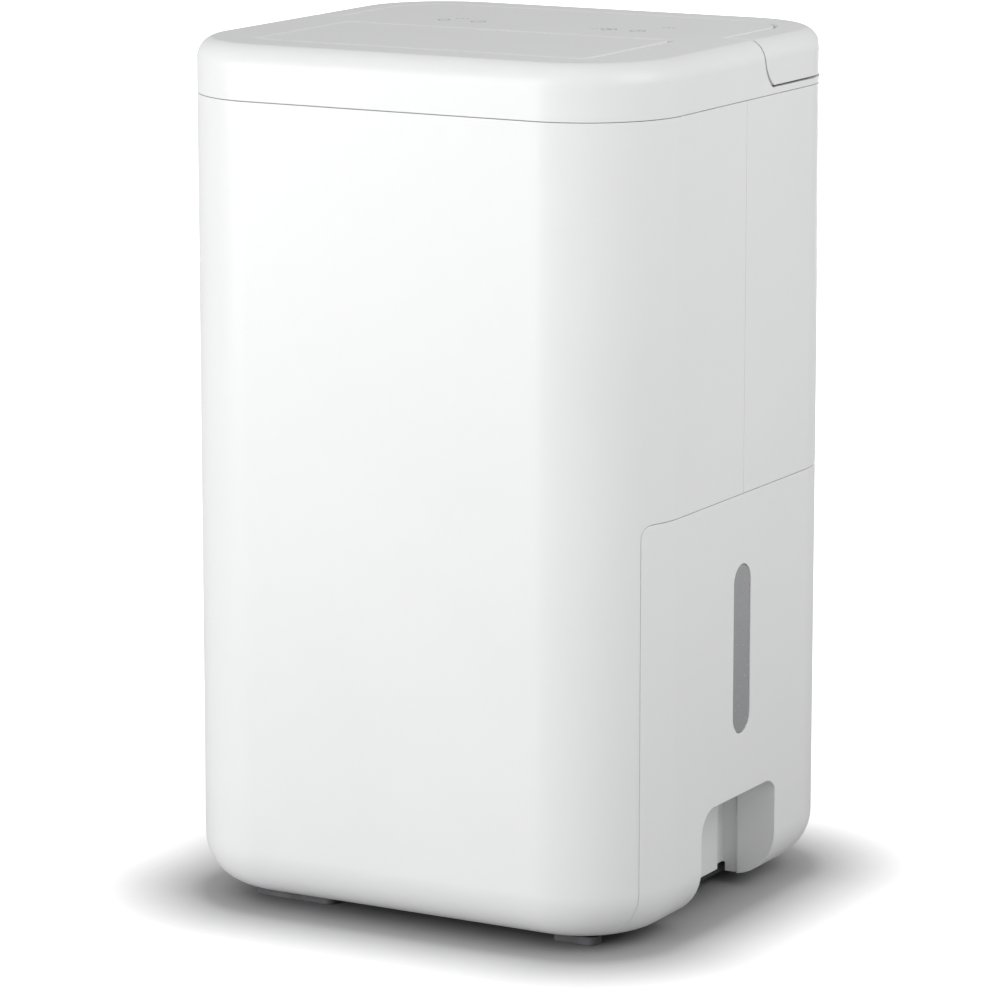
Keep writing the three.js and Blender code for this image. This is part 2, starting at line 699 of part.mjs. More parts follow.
function columnFrame() {
  const y0 = tankFrontY + TOUCH;
  const panel = box(-FAR, FAR, y0, y0 + PANEL_THICK, baseTop + TOUCH, deckZ - TOUCH);
  const ribs = [-0.62, -0.22, 0.22, 0.62].map((share) => {
    const x = share * halfW;
    return box(x - 1.25, x + 1.25, -halfD + 2 * WALL, y0 + 1, 45, deckZ - TOUCH);
  });
  const fit = bodySolid(WALL + 1);
  return join(panel, ...ribs)
    .intersect(fit)
    .intersect(moved(fit, 0, PANEL_THICK + 1, 0));
}
addTo(chassis, "column_frame", columnFrame(), DARK);

function midDeck() {
  const plate = bodySolid(WALL + 0.8).intersect(box(-FAR, FAR, -FAR, FAR, deckZ, deckTop));
  const posts = [-1, 1].map((side) =>
    box(
      side * screwX - 5,
      side * screwX + 5,
      halfD - WALL - 1 - SCREW_LENGTH,
      halfD - WALL - 1,
      deckZ + 1,
      screwLowZ + 5,
    ),
  );
  const postHoles = [-1, 1].map((side) =>
    rodY(side * screwX, screwLowZ, 0, FAR, SCREW_R + TOUCH, 12),
  );
  const drip = rodZ(0, halfD - 30, 0, FAR, 9);
  return plate.add(join(...posts)).subtract(join(drip, ...postHoles));
}
addTo(chassis, "mid_deck", midDeck(), DARK);

// ---------------------------------------------------------------- water tank
const tank = subassembly();
const tankTrim = tankRegion(-SEAM / 2);
// Space of one hand grip, grown by g: an arch in the side wall, with a channel in its rear corner.
function gripSpace(side, g) {
  const arch = new THREE.Shape();
  const back = GRIP_BACK + CHANNEL_BACK;
  const r = GRIP_ARCH_R + g;
  arch.moveTo(GRIP_FRONT - g, -FAR);
  arch.lineTo(back + g, -FAR);
  arch.absarc(back - GRIP_ARCH_R, GRIP_HEIGHT - GRIP_ARCH_R, r, 0, Math.PI / 2);
  arch.absarc(GRIP_FRONT + GRIP_ARCH_R, GRIP_HEIGHT - GRIP_ARCH_R, r, Math.PI / 2, Math.PI);
  arch.closePath();
  const plan = new THREE.Shape();
  const inner = GRIP_INNER_R + g;
  plan.moveTo(FAR, GRIP_FRONT - g);
  plan.absarc(gripX + GRIP_INNER_R, GRIP_FRONT + GRIP_INNER_R, inner, 1.5 * Math.PI, Math.PI, true);
  plan.lineTo(gripX - g, GRIP_BACK - CHANNEL_FRONT - g);
  plan.lineTo(gripX - CHANNEL_DEPTH - g, GRIP_BACK - CHANNEL_FRONT - g);
  plan.lineTo(gripX - CHANNEL_DEPTH - g, GRIP_BACK + CHANNEL_BACK + g);
  plan.lineTo(gripX + CHANNEL_SIDE + g, GRIP_BACK + CHANNEL_BACK + g);
  plan.lineTo(gripX + CHANNEL_SIDE + g, GRIP_BACK + g);
  plan.lineTo(FAR, GRIP_BACK + g);
  plan.closePath();
  const recess = prismZ(plan, -FAR, GRIP_HEIGHT + g);
  const space = side > 0 ? recess : solidOf(geometryOf(recess).scale(-1, 1, 1));
  return prismX(arch, -FAR, FAR).intersect(space);
}
const bothGrips = (g) => gripSpace(-1, g).add(gripSpace(1, g));

function windowShape(g) {
  const w = WINDOW_WIDTH / 2 + g;
  return prismX(roundedRect(-w, w, WINDOW_LOW - g, WINDOW_HIGH + g, w - 0.01), -FAR, FAR);
}

function tankCover() {
  const pocketWalls = bothGrips(WALL).subtract(bothGrips(0));
  const slotTop = baseTop + TANK_RUN;
  const grips = [-gripX - 1, gripX + 1, GRIP_FRONT + 1, GRIP_BACK + CHANNEL_BACK];
  const underGrips = box(...grips, -FAR, FLOOR_CLEARANCE + GRIP_LIFT);
  const opening = box(-slotHalf, slotHalf, -FAR, baseBack + 2, -FAR, slotTop);
  return skin
    .add(pocketWalls.intersect(bodyOuter))
    .intersect(tankTrim)
    .subtract(bothGrips(0))
    .subtract(windowShape(0))
    .subtract(join(opening, underGrips));
}
addTo(tank, "tank_cover", tankCover(), WHITE);

const containerLow = baseTop + TANK_RUN;
const containerTop = TANK_HEIGHT - CONTAINER_DROP;
const containerFront = tankFrontY + PANEL_THICK + 4;
function tankContainer() {
  const clear = WALL + TOUCH;
  const zone = box(-FAR, FAR, containerFront, FAR, containerLow, containerTop);
  const hollowZone = box(
    -FAR,
    FAR,
    containerFront + CONTAINER_WALL,
    FAR,
    containerLow + CONTAINER_WALL,
    FAR,
  );
  const outer = bodySolid(clear).subtract(bothGrips(clear)).intersect(zone);
  const hollow = bodySolid(clear + CONTAINER_WALL)
    .subtract(bothGrips(clear + CONTAINER_WALL))
    .intersect(hollowZone);
  const boss = windowShape(-TOUCH).intersect(bodySolid(WINDOW_RECESS)).subtract(bodySolid(clear + 1));
  return outer.subtract(hollow).add(boss);
}
addTo(tank, "tank_container", tankContainer(), CLEAR_GREY);

const floatPivotY = 10;
const floatPivotZ = containerTop - 16;
const FLOAT_PIN_R = 1.5;
function tankLid() {
  const z0 = containerTop + TOUCH;
  const back = halfD - POUR_OPENING;
  const plate = bodySolid(WALL + TOUCH + 0.5).intersect(
    box(-FAR, FAR, containerFront + 0.5, back, z0, z0 + TANK_LID_THICK),
  );
  const lugs = [-1, 1].map((side) => {
    const xs = [side * 14, side * 17].sort((a, b) => a - b);
    return box(xs[0], xs[1], floatPivotY - 4, floatPivotY + 4, floatPivotZ - 4, z0 + 1);
  });
  const lip = box(-70, 70, back - 3, back, z0 + 1, z0 + TANK_LID_THICK + 2.5);
  return plate
    .add(join(...lugs, lip))
    .subtract(rodX(floatPivotY, floatPivotZ, -FAR, FAR, FLOAT_PIN_R + TOUCH, 12));
}
addTo(tank, "tank_lid", tankLid(), CLEAR_GREY);
addTo(tank, "float_pin", rodX(0, 0, -18, 18, FLOAT_PIN_R, 12), STEEL, [0, floatPivotY, floatPivotZ]);

const floatParts = subassembly(0, floatPivotY, floatPivotZ);
function floatArm() {
  const barrel = rodX(0, 0, -13, 13, 3.6, 14);
  const arm = box(-5, 5, 2, 58, -4.5, -2);
  return barrel.add(arm).subtract(rodX(0, 0, -FAR, FAR, FLOAT_PIN_R + RUNNING_FIT, 14));
}
addTo(floatParts, "float_arm", floatArm(), WHITE);
const floatShape = roundedRect(-27, 27, 14, 56, 6);
addTo(floatParts, "float_block", prismZ(floatShape, -26, -4.5 - TOUCH), FOAM);
addTo(floatParts, "float_magnet", rodZ(0, 50, -2 + TOUCH, 3, 4, 12), STEEL);

// ---------------------------------------------------------------- refrigeration circuit
const cooling = subassembly();
const coilLow = deckTop + TRAY_HEIGHT + 5;
const coilHigh = belowLid - 20;
const evaporatorY = halfD + filterFront - 3 - COIL_THICK;
const condenserY = evaporatorY - COIL_GAP - COIL_THICK;
// Fin pack with a row of return bends standing out of each end.
function coil(y0) {
  const pitch = (coilHigh - coilLow) / COIL_ROWS;
  let pack = box(-coilHalf, coilHalf, y0, y0 + COIL_THICK, coilLow, coilHigh);
  for (let i = 0; i < COIL_ROWS; i++) {
    const z = coilLow + (i + 0.5) * pitch;
    for (const side of [-1, 1]) {
      const bend = new THREE.TorusGeometry(pitch / 4, COIL_TUBE_R, 5, 8);
      bend.translate(side * coilHalf, z, -(y0 + COIL_THICK / 2)).rotateX(Math.PI / 2);
      pack = pack.add(solidOf(bend));
    }
  }
  return pack;
}
addTo(cooling, "evaporator", coil(evaporatorY), ALUMINIUM);
addTo(cooling, "condenser", coil(condenserY), ALUMINIUM);

const trayBack = halfD - WALL - 1.5;
const trayFront = condenserY - 3;
const trayHalf = screwX - 5 - 2; // between the deck's screw posts
function dripTray() {
  const z0 = deckTop + TOUCH;
  const z1 = z0 + TRAY_HEIGHT;
  const half = coilHalf + 8;
  const back = evaporatorY + COIL_THICK + 2;
  const outer = box(-half, half, trayFront, back, z0, z1);
  const tail = box(-trayHalf, trayHalf, trayFront, trayBack - 8, z0, z1);
  const hollow = box(2 - half, half - 2, trayFront + 2, back - 2, z0 + 2, FAR);
  const tailHollow = box(2 - trayHalf, trayHalf - 2, trayFront + 2, trayBack - 10, z0 + 2, FAR);
  const drain = rodZ(0, halfD - 30, 0, FAR, 5);
  const side = rodY(portX, portZ, 0, FAR, PORT_BORE);
  return outer.add(tail).subtract(join(hollow, tailHollow, drain, side));
}
addTo(cooling, "drip_tray", dripTray(), DARK);

const portStart = trayBack - 8 + TOUCH;
addTo(
  cooling,
  "drain_port",
  rodY(portX, portZ, portStart, halfD - 3.5, PORT_R).subtract(rodY(portX, portZ, 0, FAR, PORT_BORE)),
  DARK,
);
addTo(
  cooling,
  "drain_plug",
  rodY(0, 0, -8.5, -3, PORT_BORE - TOUCH).add(rodY(0, 0, -3, 0, PORT_R + 2)),
  RUBBER,
  [portX, halfD - TOUCH, portZ],
);

// The compressor fills the bay between the front lane and the blower's motor.
const motorFront = scrollFront - TOUCH - MOTOR_LENGTH;
const bayFront = -halfD + WALL + FRONT_LANE;
const compressorR = (motorFront - 3 - bayFront) / 2;
const compressorY = bayFront + compressorR;
const compressorX = -(halfW - WALL - PIPE_LANE - compressorR);
const GROMMET = 8;
const compressorLow = deckTop + GROMMET;
const compressorTop = ductLow - 22;
function compressorCan() {
  const h = compressorTop - compressorLow;
  const can = turned([
    [0, 4],
    [compressorR * 0.7, 4],
    [compressorR - 2, 12],
    [compressorR - 2, h * 0.5],
    [compressorR, h * 0.5],
    [compressorR, h * 0.5 + 4],
    [compressorR - 2, h * 0.5 + 4],
    [compressorR - 2, h - 16],
    [compressorR * 0.72, h - 4],
    [compressorR * 0.3, h],
    [0, h],
  ]);
  const plate = prismZ(roundedRect(-compressorR, compressorR, -compressorR, compressorR, 12), 1, 4.5);
  return can.add(plate);
}
addTo(cooling, "compressor", compressorCan(), BLACK_CAN, [compressorX, compressorY, compressorLow]);
const reach = compressorR * 0.72;
[[-reach, -reach], [reach, -reach], [0, reach]].forEach(([x, y], i) => {
  const grommet = rodZ(0, 0, TOUCH, GROMMET + 1 - TOUCH, 7, 14);
  addTo(cooling, `compressor_grommet_${i + 1}`, grommet, RUBBER, [compressorX + x, compressorY + y, deckTop]);
});

const accumulatorX = compressorX + compressorR + 4 + ACCUMULATOR_R;
const accumulatorY = compressorY - compressorR * 0.4;
const accumulatorLow = compressorLow + 24;
const accumulatorTop = compressorTop - 16;
function accumulatorCan() {
  const h = accumulatorTop - accumulatorLow;
  const r = ACCUMULATOR_R;
  return turned(
    [[0, -10], [4, -10], [4, 0], [r * 0.6, 2], [r, 8], [r, h - 8], [r * 0.6, h - 2], [4, h], [0, h]],
    20,
  );
}
addTo(cooling, "accumulator", accumulatorCan(), BLACK_CAN, [accumulatorX, accumulatorY, accumulatorLow]);

// Pipes run in the lane along the left wall, then round the front of the compressor.
const laneX = -(halfW - WALL - PIPE_LANE / 2);
const coilEnd = -(coilHalf + 1 + (coilHigh - coilLow) / COIL_ROWS / 4 + COIL_TUBE_R);
const cornerX = compressorX - compressorR * 0.45;
const cornerY = bayFront - 8;
addTo(
  cooling,
  "discharge_pipe",
  pipe(
    [
      [compressorX, compressorY, compressorTop + 1],
      [compressorX - 1, compressorY, compressorTop + 7],
      [compressorX - 10, compressorY, compressorTop + 11],
      [compressorX - compressorR, compressorY, compressorTop + 8],
      [laneX, compressorY + 30, compressorTop],
      [laneX - 2, condenserY - 20, coilHigh - 30],
      [laneX, condenserY + COIL_THICK / 2 - 5, coilHigh - 22],
      [coilEnd - TOUCH, condenserY + COIL_THICK / 2, coilHigh - 20],
    ],
    DISCHARGE_R,
  ),
  COPPER,
);
addTo(
  cooling,
  "suction_pipe",
  pipe(
    [
      [coilEnd - TOUCH, evaporatorY + COIL_THICK / 2, coilLow + 20],
      [laneX, evaporatorY + COIL_THICK / 2 - 8, coilLow + 22],
      [laneX - 4, condenserY, coilLow + 24],
      [laneX - 4, compressorY + 30, coilLow + 30],
      [laneX + 2, compressorY - 10, coilLow + 40],
      [cornerX, cornerY + 4, accumulatorTop - 20],
      [compressorX + compressorR * 0.4, cornerY, accumulatorTop + 4],
      [accumulatorX - 2, accumulatorY - 12, accumulatorTop + 14],
      [accumulatorX, accumulatorY, accumulatorTop + 10],
      [accumulatorX, accumulatorY, accumulatorTop + TOUCH],
    ],
    SUCTION_R,
    38,
  ),
  COPPER,
);
addTo(
  cooling,
  "capillary_tube",
  pipe(
    [
      [coilEnd - TOUCH, condenserY + COIL_THICK / 2, coilLow + 46],
      [coilEnd - 7, condenserY + COIL_THICK / 2 - 2, coilLow + 54],
      [coilEnd - 8, condenserY + COIL_THICK + 3, coilLow + 70],
      [coilEnd - 7, evaporatorY + COIL_THICK / 2 + 2, coilLow + 60],
      [coilEnd - TOUCH, evaporatorY + COIL_THICK / 2, coilLow + 52],
    ],
    CAPILLARY_R,
    16,
  ),
  COPPER,
);

// ---------------------------------------------------------------- blower
const scrollR = (ductLow - deckTop - 6 - CHUTE_RISE) / 2;
const blowerZ = deckTop + 4 + scrollR;
const wheelR = scrollR - WHEEL_GAP;
const blower = subassembly(0, 0, blowerZ);
function scrollShape(inset, top) {
  const circle = rodY(0, 0, scrollFront + inset, scrollBack - inset, scrollR - inset, 32);
  const chute = box(
    inset - CHUTE_HALF_WIDTH,
    CHUTE_HALF_WIDTH - inset,
    scrollFront + inset,
    scrollBack - inset,
    0,
    top,
  );
  return circle.add(chute);
}
function fanScroll() {
  const top = ductLow - TOUCH - blowerZ;
  const inletR = wheelR - 10;
  return scrollShape(0, top)
    .subtract(scrollShape(SCROLL_WALL, FAR))
    .subtract(rodY(0, 0, scrollBack - 5, FAR, inletR, 32))
    .subtract(rodY(0, 0, -FAR, scrollFront + 5, 7));
}
addTo(blower, "fan_scroll", fanScroll(), DARK);

const wheelFront = scrollFront + SCROLL_WALL + 3;
const wheelBack = scrollBack - SCROLL_WALL - 3;
function fanWheel() {
  const disc = rodY(0, 0, wheelFront, wheelFront + 2, wheelR, 32);
  const ring = rodY(0, 0, wheelBack - 3, wheelBack, wheelR, 32).subtract(
    rodY(0, 0, -FAR, FAR, wheelR - 9, 32),
  );
  const hub = rodY(0, 0, wheelFront, wheelFront + 16, 9, 16);
  let wheel = join(disc, ring, hub);
  for (let i = 0; i < BLADES; i++) {
    const blade = new THREE.BoxGeometry(8, wheelBack - wheelFront - 2, 1.4);
    blade.rotateY(0.6).translate(wheelR - 5.5, (wheelFront + wheelBack) / 2, 0);
    wheel = wheel.add(solidOf(blade.rotateY((2 * Math.PI * i) / BLADES)));
  }
  return wheel.subtract(rodY(0, 0, -FAR, wheelFront + 13, SHAFT_R + RUNNING_FIT));
}
addTo(blower, "fan_wheel", fanWheel(), DARK);
addTo(
  blower,
  "fan_motor",
  rodY(0, 0, motorFront, scrollFront - TOUCH, MOTOR_R, 28).add(
    rodY(0, 0, scrollFront - 2, wheelFront + 12, SHAFT_R),
  ),
  STEEL,
);

// ---------------------------------------------------------------- electronics
const electronics = subassembly();
const boxLeft = accumulatorX + ACCUMULATOR_R + 6;
const boxRight = halfW - WALL - 24;
const boxFront = bayFront - 2;
const BOX_DEPTH = 30;
const boxLow = deckTop + 6;
const boxTop = ductLow - 30;
const boxBack = boxFront + BOX_DEPTH;
addTo(
  electronics,
  "electronics_box",
  box(boxLeft, boxRight, boxFront, boxBack - 2 - TOUCH, boxLow, boxTop).subtract(
    box(boxLeft + 2, boxRight - 2, boxFront + 2, FAR, boxLow + 2, boxTop - 2),
  ),
  DARK,
);
addTo(electronics, "electronics_cover", box(boxLeft, boxRight, boxBack - 2, boxBack, boxLow, boxTop), DARK);
const boardY = boxFront + 8;
function powerBoard() {
  const w = boxRight - boxLeft - 8;
  const h = boxTop - boxLow - 8;
  const board = box(0, w, 0, 1.6, 0, h);
  const relay = box(w * 0.1, w * 0.4, 1.4, 14, h * 0.1, h * 0.28);
  const filter = box(w * 0.5, w * 0.85, 1.4, 13, h * 0.12, h * 0.34);
  const sink = box(w * 0.15, w * 0.8, 1.4, 9, h * 0.5, h * 0.62);
  const plugRow = box(w * 0.12, w * 0.88, 1.4, 8, h * 0.78, h * 0.86);
  return join(board, relay, filter, sink, plugRow);
}
addTo(electronics, "power_board", powerBoard(), BOARD, [boxLeft + 4, boardY, boxLow + 4]);
const CAPACITOR_R = 16;
addTo(
  electronics,
  "run_capacitor",
  rodZ(0, 0, TOUCH, 62, CAPACITOR_R, 20).add(box(-6, 6, -1, 1, 61, 70)),
  ALUMINIUM,
  [boxRight - CAPACITOR_R - 4, boxBack + CAPACITOR_R + 6, deckTop],
);
const controlZ = HEIGHT - WALL - 8;
function controlBoard() {
  const half = handleInnerX - 35;
  const back = handleInnerY - 12;
  const board = box(-half, half, 6, back, controlZ, controlZ + 1.6);
  const pads = [-0.72, -0.48, 0.3, 0.52, 0.74].map((share) =>
    rodZ(share * half, 34, controlZ + 1.5, controlZ + 5.5, 5, 12),
  );
  const display = box(-16, 16, 26, 44, controlZ + 1.5, controlZ + 5);
  return join(board, display, ...pads);
}
addTo(electronics, "control_board", controlBoard(), BOARD);
addTo(
  electronics,
  "humidity_sensor",
  box(-8, 8, 0, 1.6, 0, 22).add(box(-4, 4, 1.5, 4, 10, 18)),
  BOARD,
  [handleInnerX - 10, scrollBack + 2, lidSeamZ - 40],
);
addTo(electronics, "reed_switch", box(-9, 9, -5, 5, -5, -TOUCH), DARK, [0, floatPivotY + 50, deckZ]);

export default root;
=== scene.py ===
import json
import math

import bmesh
import bpy
from mathutils import Matrix, Vector


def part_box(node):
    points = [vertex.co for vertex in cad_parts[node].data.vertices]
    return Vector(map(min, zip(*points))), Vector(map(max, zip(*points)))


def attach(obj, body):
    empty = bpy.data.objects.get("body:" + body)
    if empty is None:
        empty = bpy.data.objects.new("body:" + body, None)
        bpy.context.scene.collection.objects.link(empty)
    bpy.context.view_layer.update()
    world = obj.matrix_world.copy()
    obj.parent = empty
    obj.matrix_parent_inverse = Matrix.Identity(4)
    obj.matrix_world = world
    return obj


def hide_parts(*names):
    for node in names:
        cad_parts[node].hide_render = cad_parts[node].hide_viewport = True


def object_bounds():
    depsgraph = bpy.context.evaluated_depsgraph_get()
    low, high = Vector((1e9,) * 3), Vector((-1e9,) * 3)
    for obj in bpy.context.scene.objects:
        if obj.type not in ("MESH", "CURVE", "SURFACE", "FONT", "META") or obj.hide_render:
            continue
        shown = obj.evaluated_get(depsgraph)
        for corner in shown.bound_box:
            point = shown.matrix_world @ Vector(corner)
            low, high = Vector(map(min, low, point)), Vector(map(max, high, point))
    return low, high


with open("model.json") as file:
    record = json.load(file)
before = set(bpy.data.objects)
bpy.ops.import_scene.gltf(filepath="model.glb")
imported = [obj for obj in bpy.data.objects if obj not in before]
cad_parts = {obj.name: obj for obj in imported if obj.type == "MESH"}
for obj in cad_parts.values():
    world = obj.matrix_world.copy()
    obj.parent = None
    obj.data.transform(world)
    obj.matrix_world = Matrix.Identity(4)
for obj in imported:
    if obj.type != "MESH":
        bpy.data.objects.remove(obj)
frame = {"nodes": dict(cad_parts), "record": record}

# ------------------------------------------------------------------ sizes, from the frame
MM = 0.001
cad_low, cad_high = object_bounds()
record = frame["record"]
body_of = {node: body for body, nodes in record["behaviour"]["bodies"].items() for node in nodes}
slot_of = {row["node"]: row["material_slot"] for row in record["subparts"]}

HALF_W = cad_high.x
HALF_D = cad_high.y
HEIGHT = cad_high.z
CAD_SEAM = 0.6 * MM  # gap that the frame leaves between housing mouldings
SEAM = 0.3 * MM  # the same gap as the mouldings show it
CORNER_R = 59 * MM
WALL = 2.5 * MM
BOTTOM_FILLET = 28 * MM
TOP_FILLET = 12.5 * MM
CREASE_INSET = 9 * MM
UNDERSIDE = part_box("front_shell")[0].z
LID_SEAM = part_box("front_shell")[1].z + CAD_SEAM / 2
TANK_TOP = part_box("tank_cover")[1].z + CAD_SEAM / 2
TANK_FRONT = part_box("tank_cover")[0].y - CAD_SEAM / 2
TANK_CORNER_R = 7 * MM
FAR = 1.0  # past every face of the body
EDGE = 0.35 * MM  # softened edge of a moulding

HANDLE_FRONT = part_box("carry_handle")[0].y
HANDLE_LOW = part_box("carry_handle")[0].z
HANDLE_INNER_X = HALF_W - 26 * MM
HANDLE_INNER_Y = HALF_D - 29.5 * MM
HANDLE_INNER_R = 30 * MM
HANDLE_GAP = 1.4 * MM
HANDLE_UNDER = 1.2 * MM
HANDLE_WALL = 3 * MM
HANDLE_LEAN = 11 * MM  # lower end of the arms' front edge, behind its upper end
LEDGE = HANDLE_LOW - HANDLE_UNDER  # ledge of the lid under the handle
LEDGE_WALL = 2 * MM
HANDLE_RIM_R = 2 * MM  # rounded rims on the flat top
LID_RIM_R = 0.9 * MM
OUTLET_RIM_R = 2.2 * MM
FLAP_RIM_R = 1.1 * MM

OUTLET_FRONT = -HALF_D + 31 * MM
OUTLET_BACK = -2.8 * MM
OUTLET_HALF = HALF_W - 43.5 * MM
OUTLET_CORNER_R = 6 * MM
FLAP_GAP = 1.2 * MM
FLAP_BACK_GAP = 3.2 * MM
FLAP_THICK = 2.5 * MM

GRIP_FRONT = -48 * MM
GRIP_BACK = 44 * MM
GRIP_HEIGHT = 67.5 * MM
GRIP_INNER_X = HALF_W - 29.5 * MM
GRIP_ARCH_R = 15 * MM
GRIP_INNER_R = 8 * MM
GRIP_LIFT = 5.3 * MM
CHANNEL_FRONT = 11.8 * MM
CHANNEL_BACK = 3 * MM
CHANNEL_DEPTH = 5 * MM
CHANNEL_SIDE = 4.5 * MM
CHANNEL_R = 2 * MM
WINDOW_HALF = 10.5 * MM
WINDOW_LOW = 103 * MM
WINDOW_HIGH = 200 * MM
WINDOW_FIT = 0.3 * MM
WINDOW_RECESS = 0.6 * MM
CONTAINER_WALL = 2 * MM

PLAN_STEPS = 24  # facets in a quarter circle
FILLET_STEPS = 10


# ------------------------------------------------------------------ camera
CAMERA_PLACE = (1.3472, -2.4378, 0.7876)
CAMERA_AZIMUTH = math.radians(29.057)
CAMERA_ELEVATION = math.radians(11.484)
CAMERA_LENS = 179.5


def make_camera():
    data = bpy.data.cameras.new("camera")
    data.lens = CAMERA_LENS
    camera = bpy.data.objects.new("camera", data)
    bpy.context.scene.collection.objects.link(camera)
    back = Vector((
        math.sin(CAMERA_AZIMUTH) * math.cos(CAMERA_ELEVATION),
        -math.cos(CAMERA_AZIMUTH) * math.cos(CAMERA_ELEVATION),
        math.sin(CAMERA_ELEVATION),
    ))
    camera.location = CAMERA_PLACE
    camera.rotation_mode = "QUATERNION"
    camera.rotation_quaternion = back.to_track_quat("Z", "Y")
    bpy.context.scene.camera = camera


# ------------------------------------------------------------------ shader maths
class Value:
    """A shader socket that adds, subtracts, multiplies and divides by adding Math nodes."""

    def __init__(self, shader, socket):
        self.shader = shader
        self.socket = socket

    def math(self, operation, *others):
        return self.shader.math(operation, self, *others)

    def __add__(self, other):
        return self.math("ADD", other)

    def __radd__(self, other):
        return self.math("ADD", other)

    def __sub__(self, other):
        return self.math("SUBTRACT", other)

    def __rsub__(self, other):
        return self.shader.math("SUBTRACT", other, self)

    def __mul__(self, other):
        return self.math("MULTIPLY", other)

    def __rmul__(self, other):
        return self.math("MULTIPLY", other)

    def __truediv__(self, other):
        return self.math("DIVIDE", other)

    def __rtruediv__(self, other):
        return self.shader.math("DIVIDE", other, self)

    def __pow__(self, other):
        return self.math("POWER", other)


class Finish:
    """A material and the nodes behind it."""

    def __init__(self, name, color, roughness, metallic=0.0, **fixed):
        self.material = bpy.data.materials.new(name)
        self.material.use_nodes = True
        self.tree = self.material.node_tree
        self.surface = self.tree.nodes["Principled BSDF"]
        self.set("Base Color", (*color, 1.0))
        self.set("Roughness", roughness)
        self.set("Metallic", metallic)
        for socket, value in fixed.items():
            self.set(socket.replace("_", " "), value)
        self.color = color
        self.roughness = roughness

    def set(self, socket, value):
        if isinstance(value, Value):
            self.tree.links.new(value.socket, self.surface.inputs[socket])
        else:
            self.surface.inputs[socket].default_value = value

    def node(self, kind, settings=(), output=0, **inputs):
        """One node: its settings first, then values or links for its sockets, by name or _index."""
        node = self.tree.nodes.new("ShaderNode" + kind)
        for key, value in dict(settings).items():
            setattr(node, key, value)
        for key, value in inputs.items():
            socket = node.inputs[int(key[1:]) if key[0] == "_" else key.replace("_", " ")]
            if isinstance(value, Value):
                self.tree.links.new(value.socket, socket)
            else:
                socket.default_value = value
        return Value(self, node.outputs[output])

    def math(self, operation, *values):
        inputs = {f"_{i}": v for i, v in enumerate(values)}
        return self.node("Math", {"operation": operation}, **inputs)

    def place(self):
        """The object's own coordinates, as a vector and as its three numbers."""
        spot = self.node("TexCoord", output=3)
        split = self.node("SeparateXYZ", _0=spot)
        outputs = split.socket.node.outputs
        return spot, [Value(self, outputs[i]) for i in range(3)]

    def noise(self, spot, scale, detail=2.0, roughness=0.5):
        inputs = {"Vector": spot, "Scale": scale, "Detail": detail, "Roughness": roughness}
        return self.node("TexNoise", **inputs)

    def ramp(self, value, low, high, out_low=0.0, out_high=1.0):
        return self.node("MapRange", _0=value, _1=low, _2=high, _3=out_low, _4=out_high)

    def blend(self, mask, first, second):
        """Colour first where mask is 0 and second where it is 1."""
        mixed = self.node("Mix", {"data_type": "RGBA"}, output=2, _0=mask)
        for index, color in ((6, first), (7, second)):
            socket = mixed.socket.node.inputs[index]
            if isinstance(color, Value):
                self.tree.links.new(color.socket, socket)
            else:
                socket.default_value = (*color, 1.0)
        return mixed

    def bump(self, height, strength, distance):
        self.set("Normal", self.node("Bump", Height=height, Strength=strength, Distance=distance))


def shade(color, factor):
    return tuple(min(c * factor, 1.0) for c in color)


# ------------------------------------------------------------------ finishes
def moulded_white(name="moulded_white", prints=None):
    """Satin white moulding: a faint grain, a little unevenness in its gloss and tone."""
    f = Finish(name, (0.835, 0.838, 0.84), 0.36)
    spot, xyz = f.place()
    cloud = f.noise(spot, 9.0, 3.0)
    grain = f.noise(spot, 1500.0, 2.0)
    tone = f.blend(f.ramp(cloud, 0.35, 0.65), shade(f.color, 0.985), f.color)
    if prints:
        tone = f.blend(prints(f, xyz), tone, (0.2, 0.205, 0.21))
    f.set("Base Color", tone)
    f.set("Roughness", f.ramp(cloud, 0.3, 0.7, 0.33, 0.39) + grain * 0.03)
    f.bump(grain, 0.12, 0.00004)
    return f.material


def smoked_clear():
    """Grey see-through plastic of the water container, its colour darker towards the bottom as painted
    shade.
    """
    f = Finish("smoked_clear", (0.3, 0.305, 0.31), 0.24, IOR=1.49)
    spot, (x, y, z) = f.place()
    flow = f.noise(spot, 14.0, 2.0)
    wisps = f.noise(spot, 260.0, 3.0)
    # painted shade: the container's colour darker towards the bottom, lighter towards the top
    depth = f.ramp(z, 0.0, 0.23, 0.82, 1.12)
    tone = f.node("VectorMath", {"operation": "SCALE"}, _0=f.color, Scale=depth)
    f.set("Base Color", f.blend(f.ramp(flow, 0.3, 0.7, 0.0, 0.18), tone, (0.36, 0.365, 0.37)))
    f.set("Roughness", f.ramp(wisps, 0.2, 0.8, 0.2, 0.3))
    f.bump(wisps, 0.08, 0.00006)
    return f.material


def dark_moulding():
    """Charcoal plastic of the inner mouldings, spark-textured."""
    f = Finish("dark_moulding", (0.042, 0.044, 0.047), 0.55)
    spot, xyz = f.place()
    grain = f.noise(spot, 1900.0, 3.0)
    cloud = f.noise(spot, 22.0, 3.0)
    f.set("Base Color", f.blend(f.ramp(cloud, 0.3, 0.7), shade(f.color, 0.8), shade(f.color, 1.25)))
    f.set("Roughness", f.ramp(grain, 0.3, 0.7, 0.48, 0.64))
    f.bump(grain, 0.35, 0.0001)
    return f.material


def soft_rubber():
    f = Finish("soft_rubber", (0.095, 0.095, 0.1), 0.78)
    spot, xyz = f.place()
    dust = f.noise(spot, 60.0, 4.0)
    grain = f.noise(spot, 2600.0, 2.0)
    f.set("Base Color", f.blend(f.ramp(dust, 0.45, 0.75), f.color, shade(f.color, 1.7)))
    f.set("Roughness", f.ramp(dust, 0.3, 0.7, 0.7, 0.86))
    f.bump(grain, 0.3, 0.00008)
    return f.material


